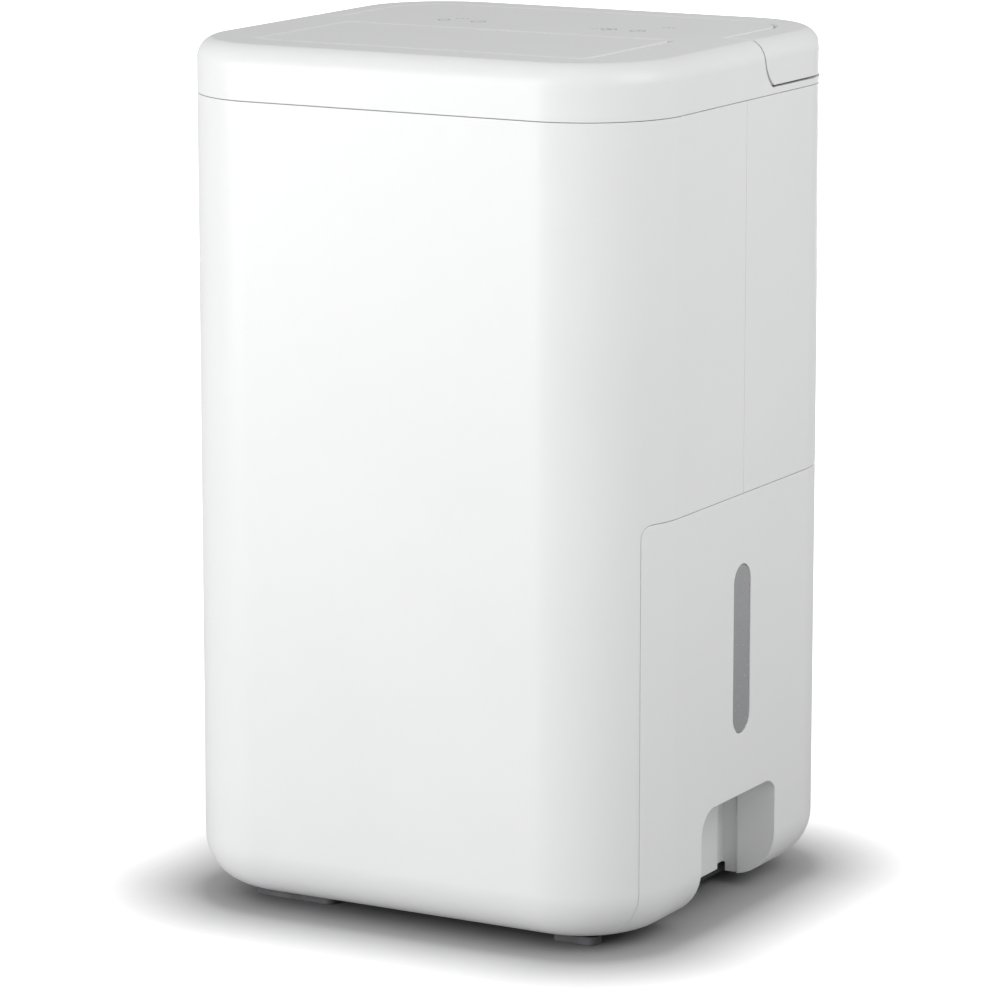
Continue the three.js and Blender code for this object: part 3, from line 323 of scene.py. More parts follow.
def black_enamel():
    """Sprayed black enamel over pressed steel: slight orange peel and a weld's duller band."""
    f = Finish("black_enamel", (0.012, 0.012, 0.014), 0.3)
    spot, (x, y, z) = f.place()
    peel = f.noise(spot, 320.0, 2.0)
    cloud = f.noise(spot, 18.0, 3.0)
    f.set("Base Color", f.blend(f.ramp(cloud, 0.4, 0.75), f.color, (0.03, 0.03, 0.033)))
    f.set("Roughness", f.ramp(cloud, 0.3, 0.7, 0.26, 0.42))
    f.bump(peel, 0.3, 0.0002)
    return f.material


def fin_pack():
    """Upright aluminium fins, close together along the coil, with painted shade in the dark gaps between
    them.
    """
    f = Finish("fin_pack", (0.62, 0.63, 0.64), 0.38, 0.9)
    spot, (x, y, z) = f.place()
    comb = f.math("PINGPONG", x, 0.8 * MM) / (0.8 * MM)
    # painted shade: the gaps between fins, coloured near black below; the same mask sets the bump's grooves
    gap_with_painted_shade = f.ramp(comb, 0.45, 0.75)
    smudge = f.noise(spot, 30.0, 3.0)
    tone = f.blend(f.ramp(smudge, 0.35, 0.75), f.color, (0.48, 0.5, 0.51))
    f.set("Base Color", f.blend(gap_with_painted_shade, tone, (0.07, 0.075, 0.08)))
    f.set("Roughness", f.ramp(smudge, 0.3, 0.7, 0.32, 0.5))
    f.bump(1 - gap_with_painted_shade, 0.8, 0.0006)
    return f.material


def drawn_copper():
    f = Finish("drawn_copper", (0.72, 0.36, 0.22), 0.28, 1.0)
    spot, xyz = f.place()
    tarnish = f.noise(spot, 45.0, 4.0)
    lines = f.noise(spot, 700.0, 2.0)
    f.set("Base Color", f.blend(f.ramp(tarnish, 0.42, 0.72), f.color, (0.42, 0.2, 0.12)))
    f.set("Roughness", f.ramp(tarnish, 0.3, 0.7, 0.24, 0.44))
    f.bump(lines, 0.1, 0.00005)
    return f.material


def zinc_steel():
    f = Finish("zinc_steel", (0.55, 0.56, 0.57), 0.32, 0.95)
    spot, xyz = f.place()
    spangle = f.node("TexVoronoi", Vector=spot, Scale=420.0)
    cloud = f.noise(spot, 40.0, 3.0)
    f.set("Base Color", f.blend(f.ramp(spangle, 0.1, 0.7), f.color, (0.44, 0.45, 0.47)))
    f.set("Roughness", f.ramp(cloud, 0.3, 0.7, 0.26, 0.42))
    f.bump(spangle, 0.08, 0.00005)
    return f.material


def circuit_board():
    """Green solder mask with tracks under it and pale printed outlines."""
    f = Finish("circuit_board", (0.02, 0.13, 0.06), 0.33)
    spot, (x, y, z) = f.place()
    cells = f.node("TexVoronoi", {"distance": "CHEBYCHEV"}, Vector=spot, Scale=150.0)
    tracks = f.ramp(f.math("PINGPONG", cells, 0.09), 0.055, 0.07)
    pads = f.ramp(f.noise(spot, 210.0, 0.0), 0.66, 0.7)
    tone = f.blend(tracks, f.color, (0.035, 0.24, 0.11))
    f.set("Base Color", f.blend(pads, tone, (0.6, 0.6, 0.55)))
    f.set("Metallic", pads * 0.8)
    f.bump(tracks, 0.3, 0.00005)
    return f.material


def closed_cell_foam():
    f = Finish("closed_cell_foam", (0.78, 0.77, 0.72), 0.9)
    spot, xyz = f.place()
    cells = f.node("TexVoronoi", Vector=spot, Scale=650.0)
    f.set("Base Color", f.blend(f.ramp(cells, 0.0, 0.6), shade(f.color, 0.8), f.color))
    f.bump(cells, 0.6, 0.0004)
    return f.material


def filter_net():
    """Fine dark net: threads each way with holes between them."""
    f = Finish("filter_net", (0.03, 0.032, 0.035), 0.6)
    spot, (x, y, z) = f.place()
    pitch = 0.75 * MM
    across = f.math("PINGPONG", x, pitch) / pitch
    along = f.math("PINGPONG", z, pitch) / pitch
    hole = f.ramp(f.math("MAXIMUM", across, along), 0.42, 0.36)
    weave = f.noise(spot, 90.0, 3.0)
    f.set("Base Color", f.blend(f.ramp(weave, 0.3, 0.7), f.color, shade(f.color, 2.0)))
    f.set("Alpha", 1 - hole * 0.55)
    f.bump(1 - hole, 0.7, 0.0002)
    return f.material


# ------------------------------------------------------------------ symbols printed on the lid
def disc(f, x, y, cx, cy, radius):
    """1 inside a circle."""
    far = f.math("SQRT", (x - cx) * (x - cx) + (y - cy) * (y - cy))
    return f.ramp(far, radius + 0.1 * MM, radius - 0.1 * MM)


def band(f, value, low, high):
    """1 where value lies between low and high."""
    soft = 0.1 * MM
    return f.ramp(value, low - soft, low + soft) * f.ramp(value, high + soft, high - soft)


def circle_line(f, x, y, cx, cy, radius, width):
    return disc(f, x, y, cx, cy, radius + width / 2) * (1 - disc(f, x, y, cx, cy, radius - width / 2))


def lid_prints(f, xyz):
    """Plain signs by the touch keys: on and off, a drop, a fan, a timer and level dots."""
    x, y, z = xyz
    line = 0.8 * MM
    power_x, drop_x, fan_x, timer_x = -38 * MM, -60 * MM, 46 * MM, 64 * MM
    row = 30 * MM
    top = f.ramp(z, HEIGHT - 0.3 * MM, HEIGHT - 0.2 * MM)
    power = circle_line(f, x, y, power_x, row, 4 * MM, line) * (
        1 - band(f, x, power_x - 1.3 * MM, power_x + 1.3 * MM) * band(f, y, row, row + 6 * MM)
    ) + band(f, x, power_x - line / 2, power_x + line / 2) * band(f, y, row + 1 * MM, row + 5.4 * MM)
    drop = circle_line(f, x, y, drop_x, row - 0.8 * MM, 3.2 * MM, line)
    tip = disc(f, x, y, drop_x, row + 4.2 * MM, 0.7 * MM)
    fan = circle_line(f, x, y, fan_x, row, 4.2 * MM, line) + disc(f, x, y, fan_x, row, 1.4 * MM)
    hands = band(f, x, timer_x - line / 2, timer_x + line / 2) * band(f, y, row, row + 3 * MM)
    timer = circle_line(f, x, y, timer_x, row, 4.2 * MM, line) + hands
    marks = power + drop + tip + fan + timer
    for i in range(3):
        step = 3.2 * MM * i
        marks = marks + disc(f, x, y, 68 * MM + step, 54 * MM, 0.9 * MM)
        marks = marks + disc(f, x, y, -57 * MM + step, 40 * MM, 0.9 * MM)
        marks = marks + disc(f, x, y, 37 * MM + 0.3 * step, 27 * MM + step, 0.7 * MM)
    return f.math("MINIMUM", marks, 1.0) * top


# ------------------------------------------------------------------ solid helpers
def mesh_from(bm, name="shape"):
    mesh = bpy.data.meshes.new(name)
    bmesh.ops.recalc_face_normals(bm, faces=bm.faces)
    bm.to_mesh(mesh)
    bm.free()
    return mesh


def combine(mesh, *steps):
    """mesh with each (operation, other mesh) carried out in turn."""
    holder = bpy.data.objects.new("holder", mesh)
    bpy.context.scene.collection.objects.link(holder)
    tools = []
    for operation, other in steps:
        tool = bpy.data.objects.new("tool", other)
        bpy.context.scene.collection.objects.link(tool)
        tools.append(tool)
        modifier = holder.modifiers.new("boolean", "BOOLEAN")
        modifier.solver = "EXACT"
        modifier.operation = operation
        modifier.object = tool
    graph = bpy.context.evaluated_depsgraph_get()
    made = bpy.data.meshes.new_from_object(holder.evaluated_get(graph))
    for thing in (holder, *tools):
        bpy.data.objects.remove(thing)
    return made


def cut(mesh, *others):
    return combine(mesh, *[("DIFFERENCE", other) for other in others])


def keep(mesh, *others):
    return combine(mesh, *[("INTERSECT", other) for other in others])


def join(mesh, *others):
    return combine(mesh, *[("UNION", other) for other in others])


def arc(cx, cy, radius, start, end, steps=8):
    """Points on an arc, angles in degrees."""
    angles = [math.radians(start + (end - start) * i / steps) for i in range(steps + 1)]
    return [(cx + radius * math.cos(a), cy + radius * math.sin(a)) for a in angles]


def rounded(x0, x1, y0, y1, r, steps=8):
    return (
        arc(x1 - r, y1 - r, r, 0, 90, steps)
        + arc(x0 + r, y1 - r, r, 90, 180, steps)
        + arc(x0 + r, y0 + r, r, 180, 270, steps)
        + arc(x1 - r, y0 + r, r, 270, 360, steps)
    )


def prism(outline, axis, low, high):
    """An outline drawn in the two other axes, in X, Y, Z order, extruded along axis."""
    place = {
        "x": lambda a, b, t: (t, a, b),
        "y": lambda a, b, t: (a, t, b),
        "z": lambda a, b, t: (a, b, t),
    }[axis]
    bm = bmesh.new()
    bm.faces.new([bm.verts.new(place(a, b, low)) for a, b in outline])
    side = bmesh.ops.extrude_face_region(bm, geom=bm.faces[:])
    moved = [g for g in side["geom"] if isinstance(g, bmesh.types.BMVert)]
    bmesh.ops.translate(bm, verts=moved, vec=place(0, 0, high - low))
    bmesh.ops.remove_doubles(bm, verts=bm.verts, dist=1e-7)
    return mesh_from(bm)


def slab(x0, x1, y0, y1, z0, z1):
    return prism([(x0, y0), (x1, y0), (x1, y1), (x0, y1)], "z", z0, z1)


def rod(a, b, radius, low, high, axis="y", facets=32):
    """A round bar along axis, its middle at a and b in the two other axes."""
    bm = bmesh.new()
    bmesh.ops.create_cone(
        bm, cap_ends=True, segments=facets, radius1=radius, radius2=radius, depth=high - low
    )
    middle = (low + high) / 2
    if axis == "y":
        turn = Matrix.Rotation(math.pi / 2, 4, "X")
        move = (a, middle, b)
    elif axis == "x":
        turn = Matrix.Rotation(math.pi / 2, 4, "Y")
        move = (middle, a, b)
    else:
        turn = Matrix.Identity(4)
        move = (a, b, middle)
    bmesh.ops.transform(bm, matrix=Matrix.Translation(move) @ turn, verts=bm.verts)
    return mesh_from(bm)


def body_profile(inset):
    """Insets from the side walls and heights, up the outside of the body moved in by inset."""
    levels = []
    for i in range(FILLET_STEPS + 1):
        a = math.pi / 2 * i / FILLET_STEPS
        r = BOTTOM_FILLET - inset
        levels.append((BOTTOM_FILLET - r * math.sin(a), UNDERSIDE + BOTTOM_FILLET - r * math.cos(a)))
    crease = math.acos(1 - CREASE_INSET / TOP_FILLET)
    centre = HEIGHT - TOP_FILLET * math.sin(crease)
    r = TOP_FILLET - inset
    last = math.asin((HEIGHT - inset - centre) / r)
    for i in range(FILLET_STEPS + 1):
        a = last * i / FILLET_STEPS
        levels.append((TOP_FILLET - r * math.cos(a), centre + r * math.sin(a)))
    return levels


def body_block(inset):
    """The body's outline as one closed solid, every face moved in by inset."""
    bm = bmesh.new()
    levels = body_profile(inset)
    bmesh.ops.create_circle(bm, segments=4 * PLAN_STEPS, radius=1.0)
    bmesh.ops.rotate(bm, verts=bm.verts, matrix=Matrix.Rotation(math.pi / (4 * PLAN_STEPS), 3, "Z"))
    centre = Vector((HALF_W - CORNER_R, HALF_D - CORNER_R))
    turn = {v: v.co.xy.copy() for v in bm.verts}

    def place(v, direction, level):
        radius = CORNER_R - level[0]
        x = math.copysign(centre.x, direction.x) + radius * direction.x
        y = math.copysign(centre.y, direction.y) + radius * direction.y
        v.co = (x, y, level[1])

    for v, direction in turn.items():
        place(v, direction, levels[0])
    ring = bm.edges[:]
    bmesh.ops.contextual_create(bm, geom=ring)
    for level in levels[1:]:
        grown = bmesh.ops.extrude_edge_only(bm, edges=ring)["geom"]
        fresh = {g for g in grown if isinstance(g, bmesh.types.BMVert)}
        ring = [g for g in grown if isinstance(g, bmesh.types.BMEdge) and set(g.verts) <= fresh]
        for v in fresh:
            old = next(e.other_vert(v) for e in v.link_edges if e.other_vert(v) not in fresh)
            turn[v] = turn[old]
        for v in fresh:
            place(v, turn[v], level)
    bmesh.ops.contextual_create(bm, geom=ring)
    return mesh_from(bm)


def cleaned(mesh):
    """Whole flat faces and no slivers, so that edges soften evenly."""
    bm = bmesh.new()
    bm.from_mesh(mesh)
    bmesh.ops.remove_doubles(bm, verts=bm.verts, dist=2e-6)
    bmesh.ops.dissolve_limit(
        bm, angle_limit=math.radians(0.3), verts=bm.verts, edges=bm.edges,
        use_dissolve_boundaries=False,
    )
    loose = [v for v in bm.verts if not v.link_faces]
    bmesh.ops.delete(bm, geom=loose, context="VERTS")
    return mesh_from(bm)


def finished(name, mesh, material, nodes, edge=EDGE, steps=2, sharp=35):
    """A piece of the object: softened edges, smooth faces, and the frame nodes it stands for."""
    mesh = cleaned(mesh)
    piece = bpy.data.objects.new(name, mesh)
    bpy.context.scene.collection.objects.link(piece)
    mesh.materials.clear()
    mesh.materials.append(material)
    for face in mesh.polygons:
        face.use_smooth = True
    if edge:
        bevel = piece.modifiers.new("edges", "BEVEL")
        bevel.width = edge
        bevel.segments = steps
        bevel.limit_method = "ANGLE"
        bevel.angle_limit = math.radians(sharp)
        bevel.use_clamp_overlap = False
    weigh = piece.modifiers.new("normals", "WEIGHTED_NORMAL")
    weigh.keep_sharp = True
    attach(piece, body_of[nodes[0]])
    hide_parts(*nodes)
    return piece


# ------------------------------------------------------------------ housing
def tank_region(grow):
    """What lies behind and below the tank's seam, grown by grow."""
    outline = [(TANK_FRONT - grow, -FAR), (FAR, -FAR), (FAR, TANK_TOP + grow)]
    outline += arc(
        TANK_FRONT + TANK_CORNER_R, TANK_TOP - TANK_CORNER_R, TANK_CORNER_R + grow, 90, 180
    )
    return prism(outline, "x", -FAR, FAR)


def skin():
    return cut(body_block(0), body_block(WALL))


def make_front_shell(material):
    shell = keep(skin(), slab(-FAR, FAR, -FAR, -SEAM / 2, -FAR, LID_SEAM - SEAM / 2))
    return finished("front_shell_moulding", cut(shell, tank_region(SEAM / 2)), material, ["front_shell"])


def grille_opening(shrink):
    low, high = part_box("intake_grille")
    grow = CAD_SEAM - shrink
    return rounded(low.x - grow, high.x + grow, low.z - grow, high.z + grow, 8 * MM - shrink)


def centre_of(node):
    low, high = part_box(node)
    return (low + high) / 2


def make_rear_shell(material):
    shell = keep(skin(), slab(-FAR, FAR, SEAM / 2, FAR, -FAR, LID_SEAM - SEAM / 2))
    inside = HALF_D - 2 * WALL
    holes = [prism(grille_opening(0.25 * MM), "y", inside, FAR)]
    plug = centre_of("drain_plug")
    gland = centre_of("cord_gland")
    holes.append(rod(plug.x, plug.z, 10 * MM, inside, FAR))
    holes.append(rod(gland.x, gland.z, 8.3 * MM, inside, FAR))
    for i in range(4):
        screw = centre_of(f"rear_screw_{i + 1}")
        holes.append(rod(screw.x, screw.z, 3.9 * MM, inside, FAR))
    shell = cut(shell, tank_region(SEAM / 2), *holes)
    return finished("rear_shell_moulding", shell, material, ["rear_shell"])


# ------------------------------------------------------------------ lid, handle and outlet flap
def handle_side(grow, under):
    """Side view of the handle, grown by grow in front and by under below it."""
    low = HANDLE_LOW - under
    front = HANDLE_FRONT - grow
    points = [(front, HEIGHT + FAR)]
    start = Vector((front, HEIGHT - 8 * MM))
    bend = Vector((front + 1 * MM, low + 6 * MM))
    end = Vector((front + HANDLE_LEAN, low))
    count = 16
    for i in range(count + 1):
        t = i / count
        points.append(tuple((1 - t) ** 2 * start + 2 * t * (1 - t) * bend + t * t * end))
    return points + [(FAR, low), (FAR, HEIGHT + FAR)]


def between_arms(grow):
    x = HANDLE_INNER_X + grow
    return rounded(-x, x, -FAR, HANDLE_INNER_Y + grow, HANDLE_INNER_R + grow, 16)


def outlet_plan(shrink, back=OUTLET_BACK):
    x = OUTLET_HALF - shrink
    return rounded(-x, x, OUTLET_FRONT + shrink, back, OUTLET_CORNER_R - 2 * shrink, 6)


def on_top(edge):
    """An edge that borders the lid's flat top face."""
    return all(abs(v.co.z - HEIGHT) < 1e-5 for v in edge.verts) and edge.calc_face_angle(0) > 1


def by_outlet(edge):
    return all(abs(v.co.x) < OUTLET_HALF + MM and v.co.y < OUTLET_BACK + MM for v in edge.verts)


def round_edges(mesh, radius, chosen, steps=4):
    bm = bmesh.new()
    bm.from_mesh(mesh)
    bmesh.ops.remove_doubles(bm, verts=bm.verts, dist=1e-6)
    edges = [e for e in bm.edges if chosen(e)]
    bmesh.ops.bevel(
        bm, geom=edges, offset=radius, segments=steps, profile=0.5, affect="EDGES", material=-1,
        clamp_overlap=False,
    )
    return mesh_from(bm)


def make_top_lid(material):
    front = slab(-FAR, FAR, -FAR, HANDLE_FRONT - HANDLE_GAP - WALL, -FAR, FAR)
    under_ledge = slab(-FAR, FAR, -FAR, FAR, -FAR, LEDGE - LEDGE_WALL)
    room = join(prism(between_arms(-WALL), "z", -FAR, FAR), front, under_ledge)
    hollow = keep(body_block(WALL), room)
    lid = keep(body_block(0), slab(-FAR, FAR, -FAR, FAR, LID_SEAM + SEAM / 2, FAR))
    handle_space = cut(
        prism(handle_side(HANDLE_GAP, HANDLE_UNDER), "x", -FAR, FAR),
        prism(between_arms(0), "z", -2 * FAR, 2 * FAR),
    )
    outlet = prism(outlet_plan(0), "z", -FAR, FAR)
    pivot = centre_of("handle_pin_left")
    pins = rod(pivot.y, pivot.z, 2.3 * MM, -FAR, FAR, axis="x")
    lid = cut(lid, hollow, handle_space, outlet)
    lid = round_edges(lid, OUTLET_RIM_R, lambda edge: on_top(edge) and by_outlet(edge))
    lid = round_edges(lid, LID_RIM_R, lambda edge: on_top(edge) and not by_outlet(edge))
    lid = cut(lid, pins)
    posts = []
    for name in ("rear_screw_2", "rear_screw_4"):
        low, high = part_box(name)
        middle = (low + high) / 2
        half = 5 * MM
        post = slab(
            middle.x - half, middle.x + half, low.y, HALF_D - WALL - 1 * MM,
            middle.z - half, LEDGE - LEDGE_WALL + 0.5 * MM,
        )
        posts.append(cut(post, rod(middle.x, middle.z, 1.7 * MM, 0, FAR)))
    return finished("top_lid_moulding", join(lid, *posts), material, ["top_lid"])


def make_carry_handle(material):
    body = keep(body_block(0), prism(handle_side(0, 0), "x", -FAR, FAR))
    body = cut(body, prism(between_arms(HANDLE_GAP), "z", -2 * FAR, 2 * FAR))
    body = round_edges(body, HANDLE_RIM_R, on_top)
    pivot = centre_of("handle_pin_left")
    under = keep(
        body_block(HANDLE_WALL),
        join(
            prism(handle_side(-HANDLE_WALL, -HANDLE_WALL), "x", -FAR, FAR),
            slab(-FAR, FAR, pivot.y, FAR, 0, HEIGHT),
        ),
    )
    under = cut(under, prism(between_arms(HANDLE_GAP + HANDLE_WALL), "z", -2 * FAR, 2 * FAR))
    under = keep(under, slab(-FAR, FAR, -FAR, FAR, 0, HEIGHT - HANDLE_WALL))
    handle = cut(body, under)
    inner = HANDLE_INNER_X + HANDLE_GAP
    for side in (-1, 1):
        ends = sorted((side * (inner + 1 * MM), side * (inner + 9 * MM)))
        bore = sorted((side * (inner - 5 * MM), side * (inner + 6 * MM)))
        handle = join(handle, rod(pivot.y, pivot.z, 4.4 * MM, *ends, axis="x"))
        handle = cut(handle, rod(pivot.y, pivot.z, 2.1 * MM, *bore, axis="x"))
    return finished("carry_handle_moulding", handle, material, ["carry_handle"])


def make_outlet_flap(material):
    outline = outlet_plan(FLAP_GAP, OUTLET_BACK - FLAP_BACK_GAP)
    plate = prism(outline, "z", HEIGHT - FLAP_THICK, HEIGHT)
    plate = round_edges(plate, FLAP_RIM_R, on_top)
    hinge = centre_of("flap_pin_left")
    barrel = OUTLET_HALF - FLAP_GAP - 9 * MM
    plate = join(plate, rod(hinge.y, hinge.z, 2.6 * MM, -barrel, barrel, axis="x"))
    for side in (-1, 1):
        bore = sorted((side * (barrel - 8 * MM), side * FAR))
        room = sorted((side * barrel, side * FAR))
        plate = cut(
            plate,
            rod(hinge.y, hinge.z, 1.35 * MM, *bore, axis="x"),
            slab(*room, hinge.y - 4.5 * MM, FAR, 0, HEIGHT - 1.2 * MM),
        )
    return finished("outlet_flap_moulding", plate, material, ["outlet_flap"], 0.25 * MM)


# ------------------------------------------------------------------ water tank
def grip_space(side, grow):
    """Room for a hand in the side wall, grown by grow: an arch, with a channel in its rear corner."""
    back = GRIP_BACK + CHANNEL_BACK
    r = GRIP_ARCH_R + grow
    arch = [(GRIP_FRONT - grow, -FAR), (back + grow, -FAR)]
    arch += arc(back - GRIP_ARCH_R, GRIP_HEIGHT - GRIP_ARCH_R, r, 0, 90, 12)
    arch += arc(GRIP_FRONT + GRIP_ARCH_R, GRIP_HEIGHT - GRIP_ARCH_R, r, 90, 180, 12)
    x = GRIP_INNER_X
    inner = GRIP_INNER_R + grow
    front = GRIP_BACK - CHANNEL_FRONT - grow
    plan = [(FAR, GRIP_FRONT - grow)]
    plan += arc(x + GRIP_INNER_R, GRIP_FRONT + GRIP_INNER_R, inner, 270, 180, 12)
    ridge = CHANNEL_R - grow / 2  # rounded lips of the channel
    far_side = x + CHANNEL_SIDE + grow
    plan += arc(x - grow - ridge, front - ridge, ridge, 0, 90, 5)
    plan += [(x - CHANNEL_DEPTH - grow, front), (x - CHANNEL_DEPTH - grow, back + grow)]
    plan += [(far_side, back + grow)]
    plan += arc(far_side + ridge, GRIP_BACK + grow + ridge, ridge, 180, 270, 5)
    plan += [(FAR, GRIP_BACK + grow)]
    plan = [(side * px, py) for px, py in plan]
    return keep(prism(arch, "x", -FAR, FAR), prism(plan, "z", -FAR, GRIP_HEIGHT + grow))


def both_grips(grow):
    return join(grip_space(-1, grow), grip_space(1, grow))


def window_shape(grow):
    half = WINDOW_HALF + grow
    outline = rounded(-half, half, WINDOW_LOW - grow, WINDOW_HIGH + grow, half - 0.01 * MM, 14)
    return prism(outline, "x", -FAR, FAR)


def make_tank_cover(material):
    base_low, base_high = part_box("base_plate")
    slot_half = GRIP_INNER_X - WALL - 1 * MM
    slot = slab(-slot_half, slot_half, -FAR, base_high.y + 2 * MM, -FAR, base_high.z + 1 * MM)
    grip_x = GRIP_INNER_X + 1 * MM
    under_grips = slab(
        -grip_x, grip_x, GRIP_FRONT + 1 * MM, GRIP_BACK + CHANNEL_BACK, -FAR, UNDERSIDE + GRIP_LIFT
    )
    pockets = keep(both_grips(WALL), body_block(0))
    cover = join(skin(), pockets)
    cover = keep(cover, tank_region(-SEAM / 2))
    cover = cut(cover, both_grips(0), window_shape(0), slot, under_grips)
    return finished("tank_cover_moulding", cover, material, ["tank_cover"], 0.4 * MM, 2)


def make_tank_container(material):
    low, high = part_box("tank_container")
    clear = WALL + WINDOW_FIT
    inside = clear + CONTAINER_WALL
    outer = cut(body_block(clear), both_grips(clear))
    outer = keep(outer, slab(-FAR, FAR, low.y, FAR, low.z, high.z))
    hollow = cut(body_block(inside), both_grips(inside))
    zone = slab(-FAR, FAR, low.y + CONTAINER_WALL, FAR, low.z + CONTAINER_WALL, FAR)
    boss = keep(window_shape(-WINDOW_FIT), body_block(WINDOW_RECESS))
    boss = cut(boss, body_block(clear + 1 * MM))
    container = join(cut(outer, keep(hollow, zone)), boss)
    return finished("tank_container_moulding", container, material, ["tank_container"], 0.3 * MM)


# ------------------------------------------------------------------ intake on the back
def make_intake_grille(material):
    low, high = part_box("intake_grille")
    rim = 8 * MM
    rows = 13
    x = high.x
    plate = prism(rounded(low.x, high.x, low.z, high.z, 7.4 * MM), "y", low.y, high.y)
    plate = cut(
        plate,
        slab(rim - x, x - rim, -FAR, high.y - WALL, low.z + rim, high.z - rim),
    )
    pitch = (high.z - low.z - 2 * rim) / rows
    slots = []
    for i in range(rows):
        z0 = low.z + rim + i * pitch + 2 * MM
        z1 = z0 + pitch - 4 * MM
        for side in (-1, 1):
            ends = sorted((side * 2 * MM, side * (x - rim)))
            slots.append(prism(rounded(*ends, z0, z1, (z1 - z0) / 2 - 0.01 * MM, 6), "y", 0, FAR))
    plate = cut(plate, *slots)
    return finished("intake_grille_moulding", plate, material, ["intake_grille"], 0.4 * MM)


# ------------------------------------------------------------------ feet and smaller pieces
def make_foot(node, material):
    low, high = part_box(node)
    pad = prism(rounded(low.x, high.x, low.y, high.y, 5 * MM), "z", low.z, high.z)
    return finished(node + "_pad", pad, material, [node], 0.8 * MM, 3)


def refined(node, material, edge=EDGE, steps=2, sharp=35):
    """The frame's own shape with whole faces, softened edges and smooth round walls."""
    bm = bmesh.new()
    bm.from_mesh(frame["nodes"][node].data)
    bmesh.ops.remove_doubles(bm, verts=bm.verts, dist=1e-6)
    bmesh.ops.dissolve_limit(
        bm, angle_limit=math.radians(1), verts=bm.verts, edges=bm.edges, use_dissolve_boundaries=False
    )
    return finished(node + "_part", mesh_from(bm, node), material, [node], edge, steps, sharp)


def smoothed(node, material, steps=1):
    """The frame's own round shape, merged and rounded out, with its hard edges kept."""
    bm = bmesh.new()
    bm.from_mesh(frame["nodes"][node].data)
    bmesh.ops.remove_doubles(bm, verts=bm.verts, dist=1e-6)
    mesh = mesh_from(bm, node)
    piece = finished(node + "_part", mesh, material, [node], 0)
    mesh = piece.data
    hard = math.radians(40)
    bm = bmesh.new()
    bm.from_mesh(mesh)
    crease = bm.edges.layers.float.new("crease_edge")
    for edge in bm.edges:
        if edge.calc_face_angle(0) > hard:
            edge[crease] = 1.0
            edge.smooth = False
    bm.to_mesh(mesh)
    bm.free()
    finer = piece.modifiers.new("finer", "SUBSURF")
    finer.levels = finer.render_levels = steps
    piece.modifiers.move(len(piece.modifiers) - 1, 0)
    return piece


def repaint(node, material):
    """The frame's shape as it is, with a better finish."""
    data = frame["nodes"][node].data
    for i in range(max(len(data.materials), 1)):
        if i < len(data.materials):
            data.materials[i] = material
        else:
            data.materials.append(material)


# ------------------------------------------------------------------ light and floor
SKY_FILL = 0.56
KEY_POWER = 48
HIGH_POWER = 15
SIDE_POWER = 6.5
# painted shadow: the floor's colour under and at the edge of the object's footprint
PAINTED_SHADOW_UNDER = 0.2
PAINTED_SHADOW_NEAR = 0.5
# painted light: the floor's camera-only glow near the footprint, and the distance over which it rises
PAINTED_GLOW_NEAR = 0.68
PAINTED_GLOW_REACH = 0.06


def area_light(name, place, aim, size, power, tint=(1, 1, 1)):
    data = bpy.data.lights.new(name, "AREA")
    data.shape = "RECTANGLE"
    data.size, data.size_y = size
    data.energy = power
    data.color = tint
    light = bpy.data.objects.new(name, data)
    light.location = place
    light.rotation_euler = (Vector(place) - Vector(aim)).to_track_quat("Z", "Y").to_euler()
    bpy.context.scene.collection.objects.link(light)


def floor_with_painted_shadow():
    """Pale paper with painted shadow and painted light: darker under and near the object's footprint, and
    glowing, for the camera only, more and more with the distance from that footprint.
    """
    shadow_painted_paper = Finish("shadow_painted_paper", (0.9, 0.9, 0.9), 0.9, Emission_Strength=1.0)
    spot, (x, y, z) = shadow_painted_paper.place()
    side = shadow_painted_paper.math("MAXIMUM", shadow_painted_paper.math("ABSOLUTE", x) - (HALF_W - CORNER_R), 0.0)
    ahead = shadow_painted_paper.math("MAXIMUM", shadow_painted_paper.math("ABSOLUTE", y) - (HALF_D - CORNER_R), 0.0)
    away = shadow_painted_paper.math("SQRT", side * side + ahead * ahead) - CORNER_R
    speck = shadow_painted_paper.noise(spot, 40.0, 3.0)
    # painted shadow: the floor's colour dark under the footprint, paler at its edge and further out
    tone = shadow_painted_paper.ramp(away, -0.05, 0.01, PAINTED_SHADOW_UNDER, PAINTED_SHADOW_NEAR) + shadow_painted_paper.ramp(away, 0.1, 0.8, 0.0, 0.3)
    tone = tone * shadow_painted_paper.ramp(speck, 0.3, 0.7, 0.98, 1.0)
    shadow_painted_paper.set("Base Color", shadow_painted_paper.node("CombineXYZ", _0=tone, _1=tone, _2=tone))
    # painted light: emission seen only by the camera, none at the footprint, rising with distance from it
    near = shadow_painted_paper.ramp(away, 0.0, PAINTED_GLOW_REACH, 0.0, PAINTED_GLOW_NEAR)
    seen = shadow_painted_paper.node("LightPath")
    painted_glow = (near + shadow_painted_paper.ramp(away, PAINTED_GLOW_REACH, 0.3, 0.0, 0.3) + shadow_painted_paper.ramp(away, 0.5, 3.0, 0.0, 0.6)) * seen
    shadow_painted_paper.set("Emission Color", shadow_painted_paper.node("CombineXYZ", _0=painted_glow, _1=painted_glow, _2=painted_glow))
    return shadow_painted_paper.material


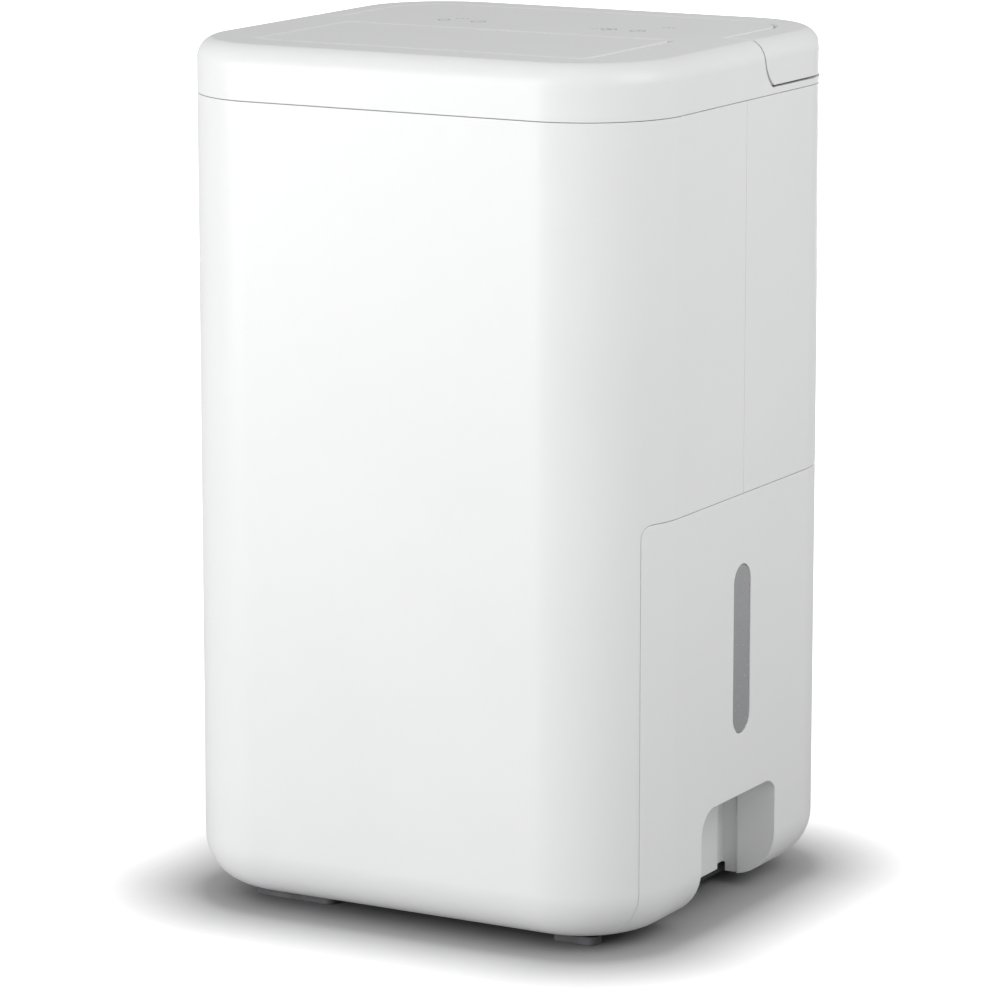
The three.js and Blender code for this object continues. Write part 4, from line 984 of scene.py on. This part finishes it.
def make_studio():
    scene = bpy.context.scene
    scene.view_settings.view_transform = "Standard"
    world = bpy.data.worlds.new("studio")
    scene.world = world
    world.use_nodes = True
    tree = world.node_tree
    sky = tree.nodes["Background"]
    sky.inputs["Color"].default_value = (1, 1, 1, 1)
    path = tree.nodes.new("ShaderNodeLightPath")
    level = tree.nodes.new("ShaderNodeMapRange")
    tree.links.new(path.outputs["Is Camera Ray"], level.inputs["Value"])
    level.inputs["To Min"].default_value = SKY_FILL
    level.inputs["To Max"].default_value = 1.05
    tree.links.new(level.outputs["Result"], sky.inputs["Strength"])
    bm = bmesh.new()
    bmesh.ops.create_grid(bm, x_segments=1, y_segments=1, size=8.0)
    floor = bpy.data.objects.new("floor", mesh_from(bm, "floor"))
    scene.collection.objects.link(floor)
    floor.data.materials.append(floor_with_painted_shadow())
    middle = (0, 0, 0.25)
    area_light("key", (-2.0, -2.6, 0.2), (0, 0, 0.2), (2.0, 0.8), KEY_POWER)
    area_light("high", (-0.9, -2.6, 1.0), middle, (1.2, 0.6), HIGH_POWER)
    area_light("side", (1.25, -0.1, 1.05), middle, (0.9, 0.9), SIDE_POWER)
    area_light("back", (-0.9, 2.5, 0.2), (0, 0, 0.2), (1.4, 0.4), 14)


make_camera()
white = moulded_white()
lid_white = moulded_white("lid_white", lid_prints)
clear = smoked_clear()
dark = dark_moulding()
rubber = soft_rubber()
enamel = black_enamel()
fins = fin_pack()
copper = drawn_copper()
steel = zinc_steel()
board = circuit_board()
foam = closed_cell_foam()
net = filter_net()

make_front_shell(white)
make_rear_shell(white)
make_top_lid(lid_white)
make_carry_handle(white)
make_outlet_flap(white)
make_tank_cover(white)
make_tank_container(clear)
make_intake_grille(white)
for foot in ("foot_front_left", "foot_front_right", "foot_rear_left", "foot_rear_right"):
    make_foot(foot, rubber)

finish_of = {
    "white_shell": white,
    "smoke_clear": clear,
    "dark_plastic": dark,
    "rubber": rubber,
    "black_can": enamel,
    "fins": fins,
    "copper": copper,
    "steel": steel,
    "circuit_board": board,
    "float_foam": foam,
}
BOXY = (
    "air_duct outlet_guard flap_bracket_left flap_bracket_right base_plate column_frame mid_deck"
    " drip_tray fan_scroll electronics_box electronics_cover filter_frame tank_lid float_arm"
    " float_block reed_switch cord_gland drain_plug drain_port power_board control_board"
    " humidity_sensor rear_screw_1 rear_screw_2 rear_screw_3 rear_screw_4"
).split()
ROUND = "discharge_pipe suction_pipe capillary_tube".split()
for name in BOXY:
    refined(name, finish_of[slot_of[name]], 0.2 * MM if name == "outlet_guard" else EDGE)
for name in ROUND:
    smoothed(name, finish_of[slot_of[name]], 2)
for name, node in frame["nodes"].items():
    if not node.hide_render:
        repaint(name, net if name == "filter_mesh" else finish_of[slot_of[name]])
make_studio()
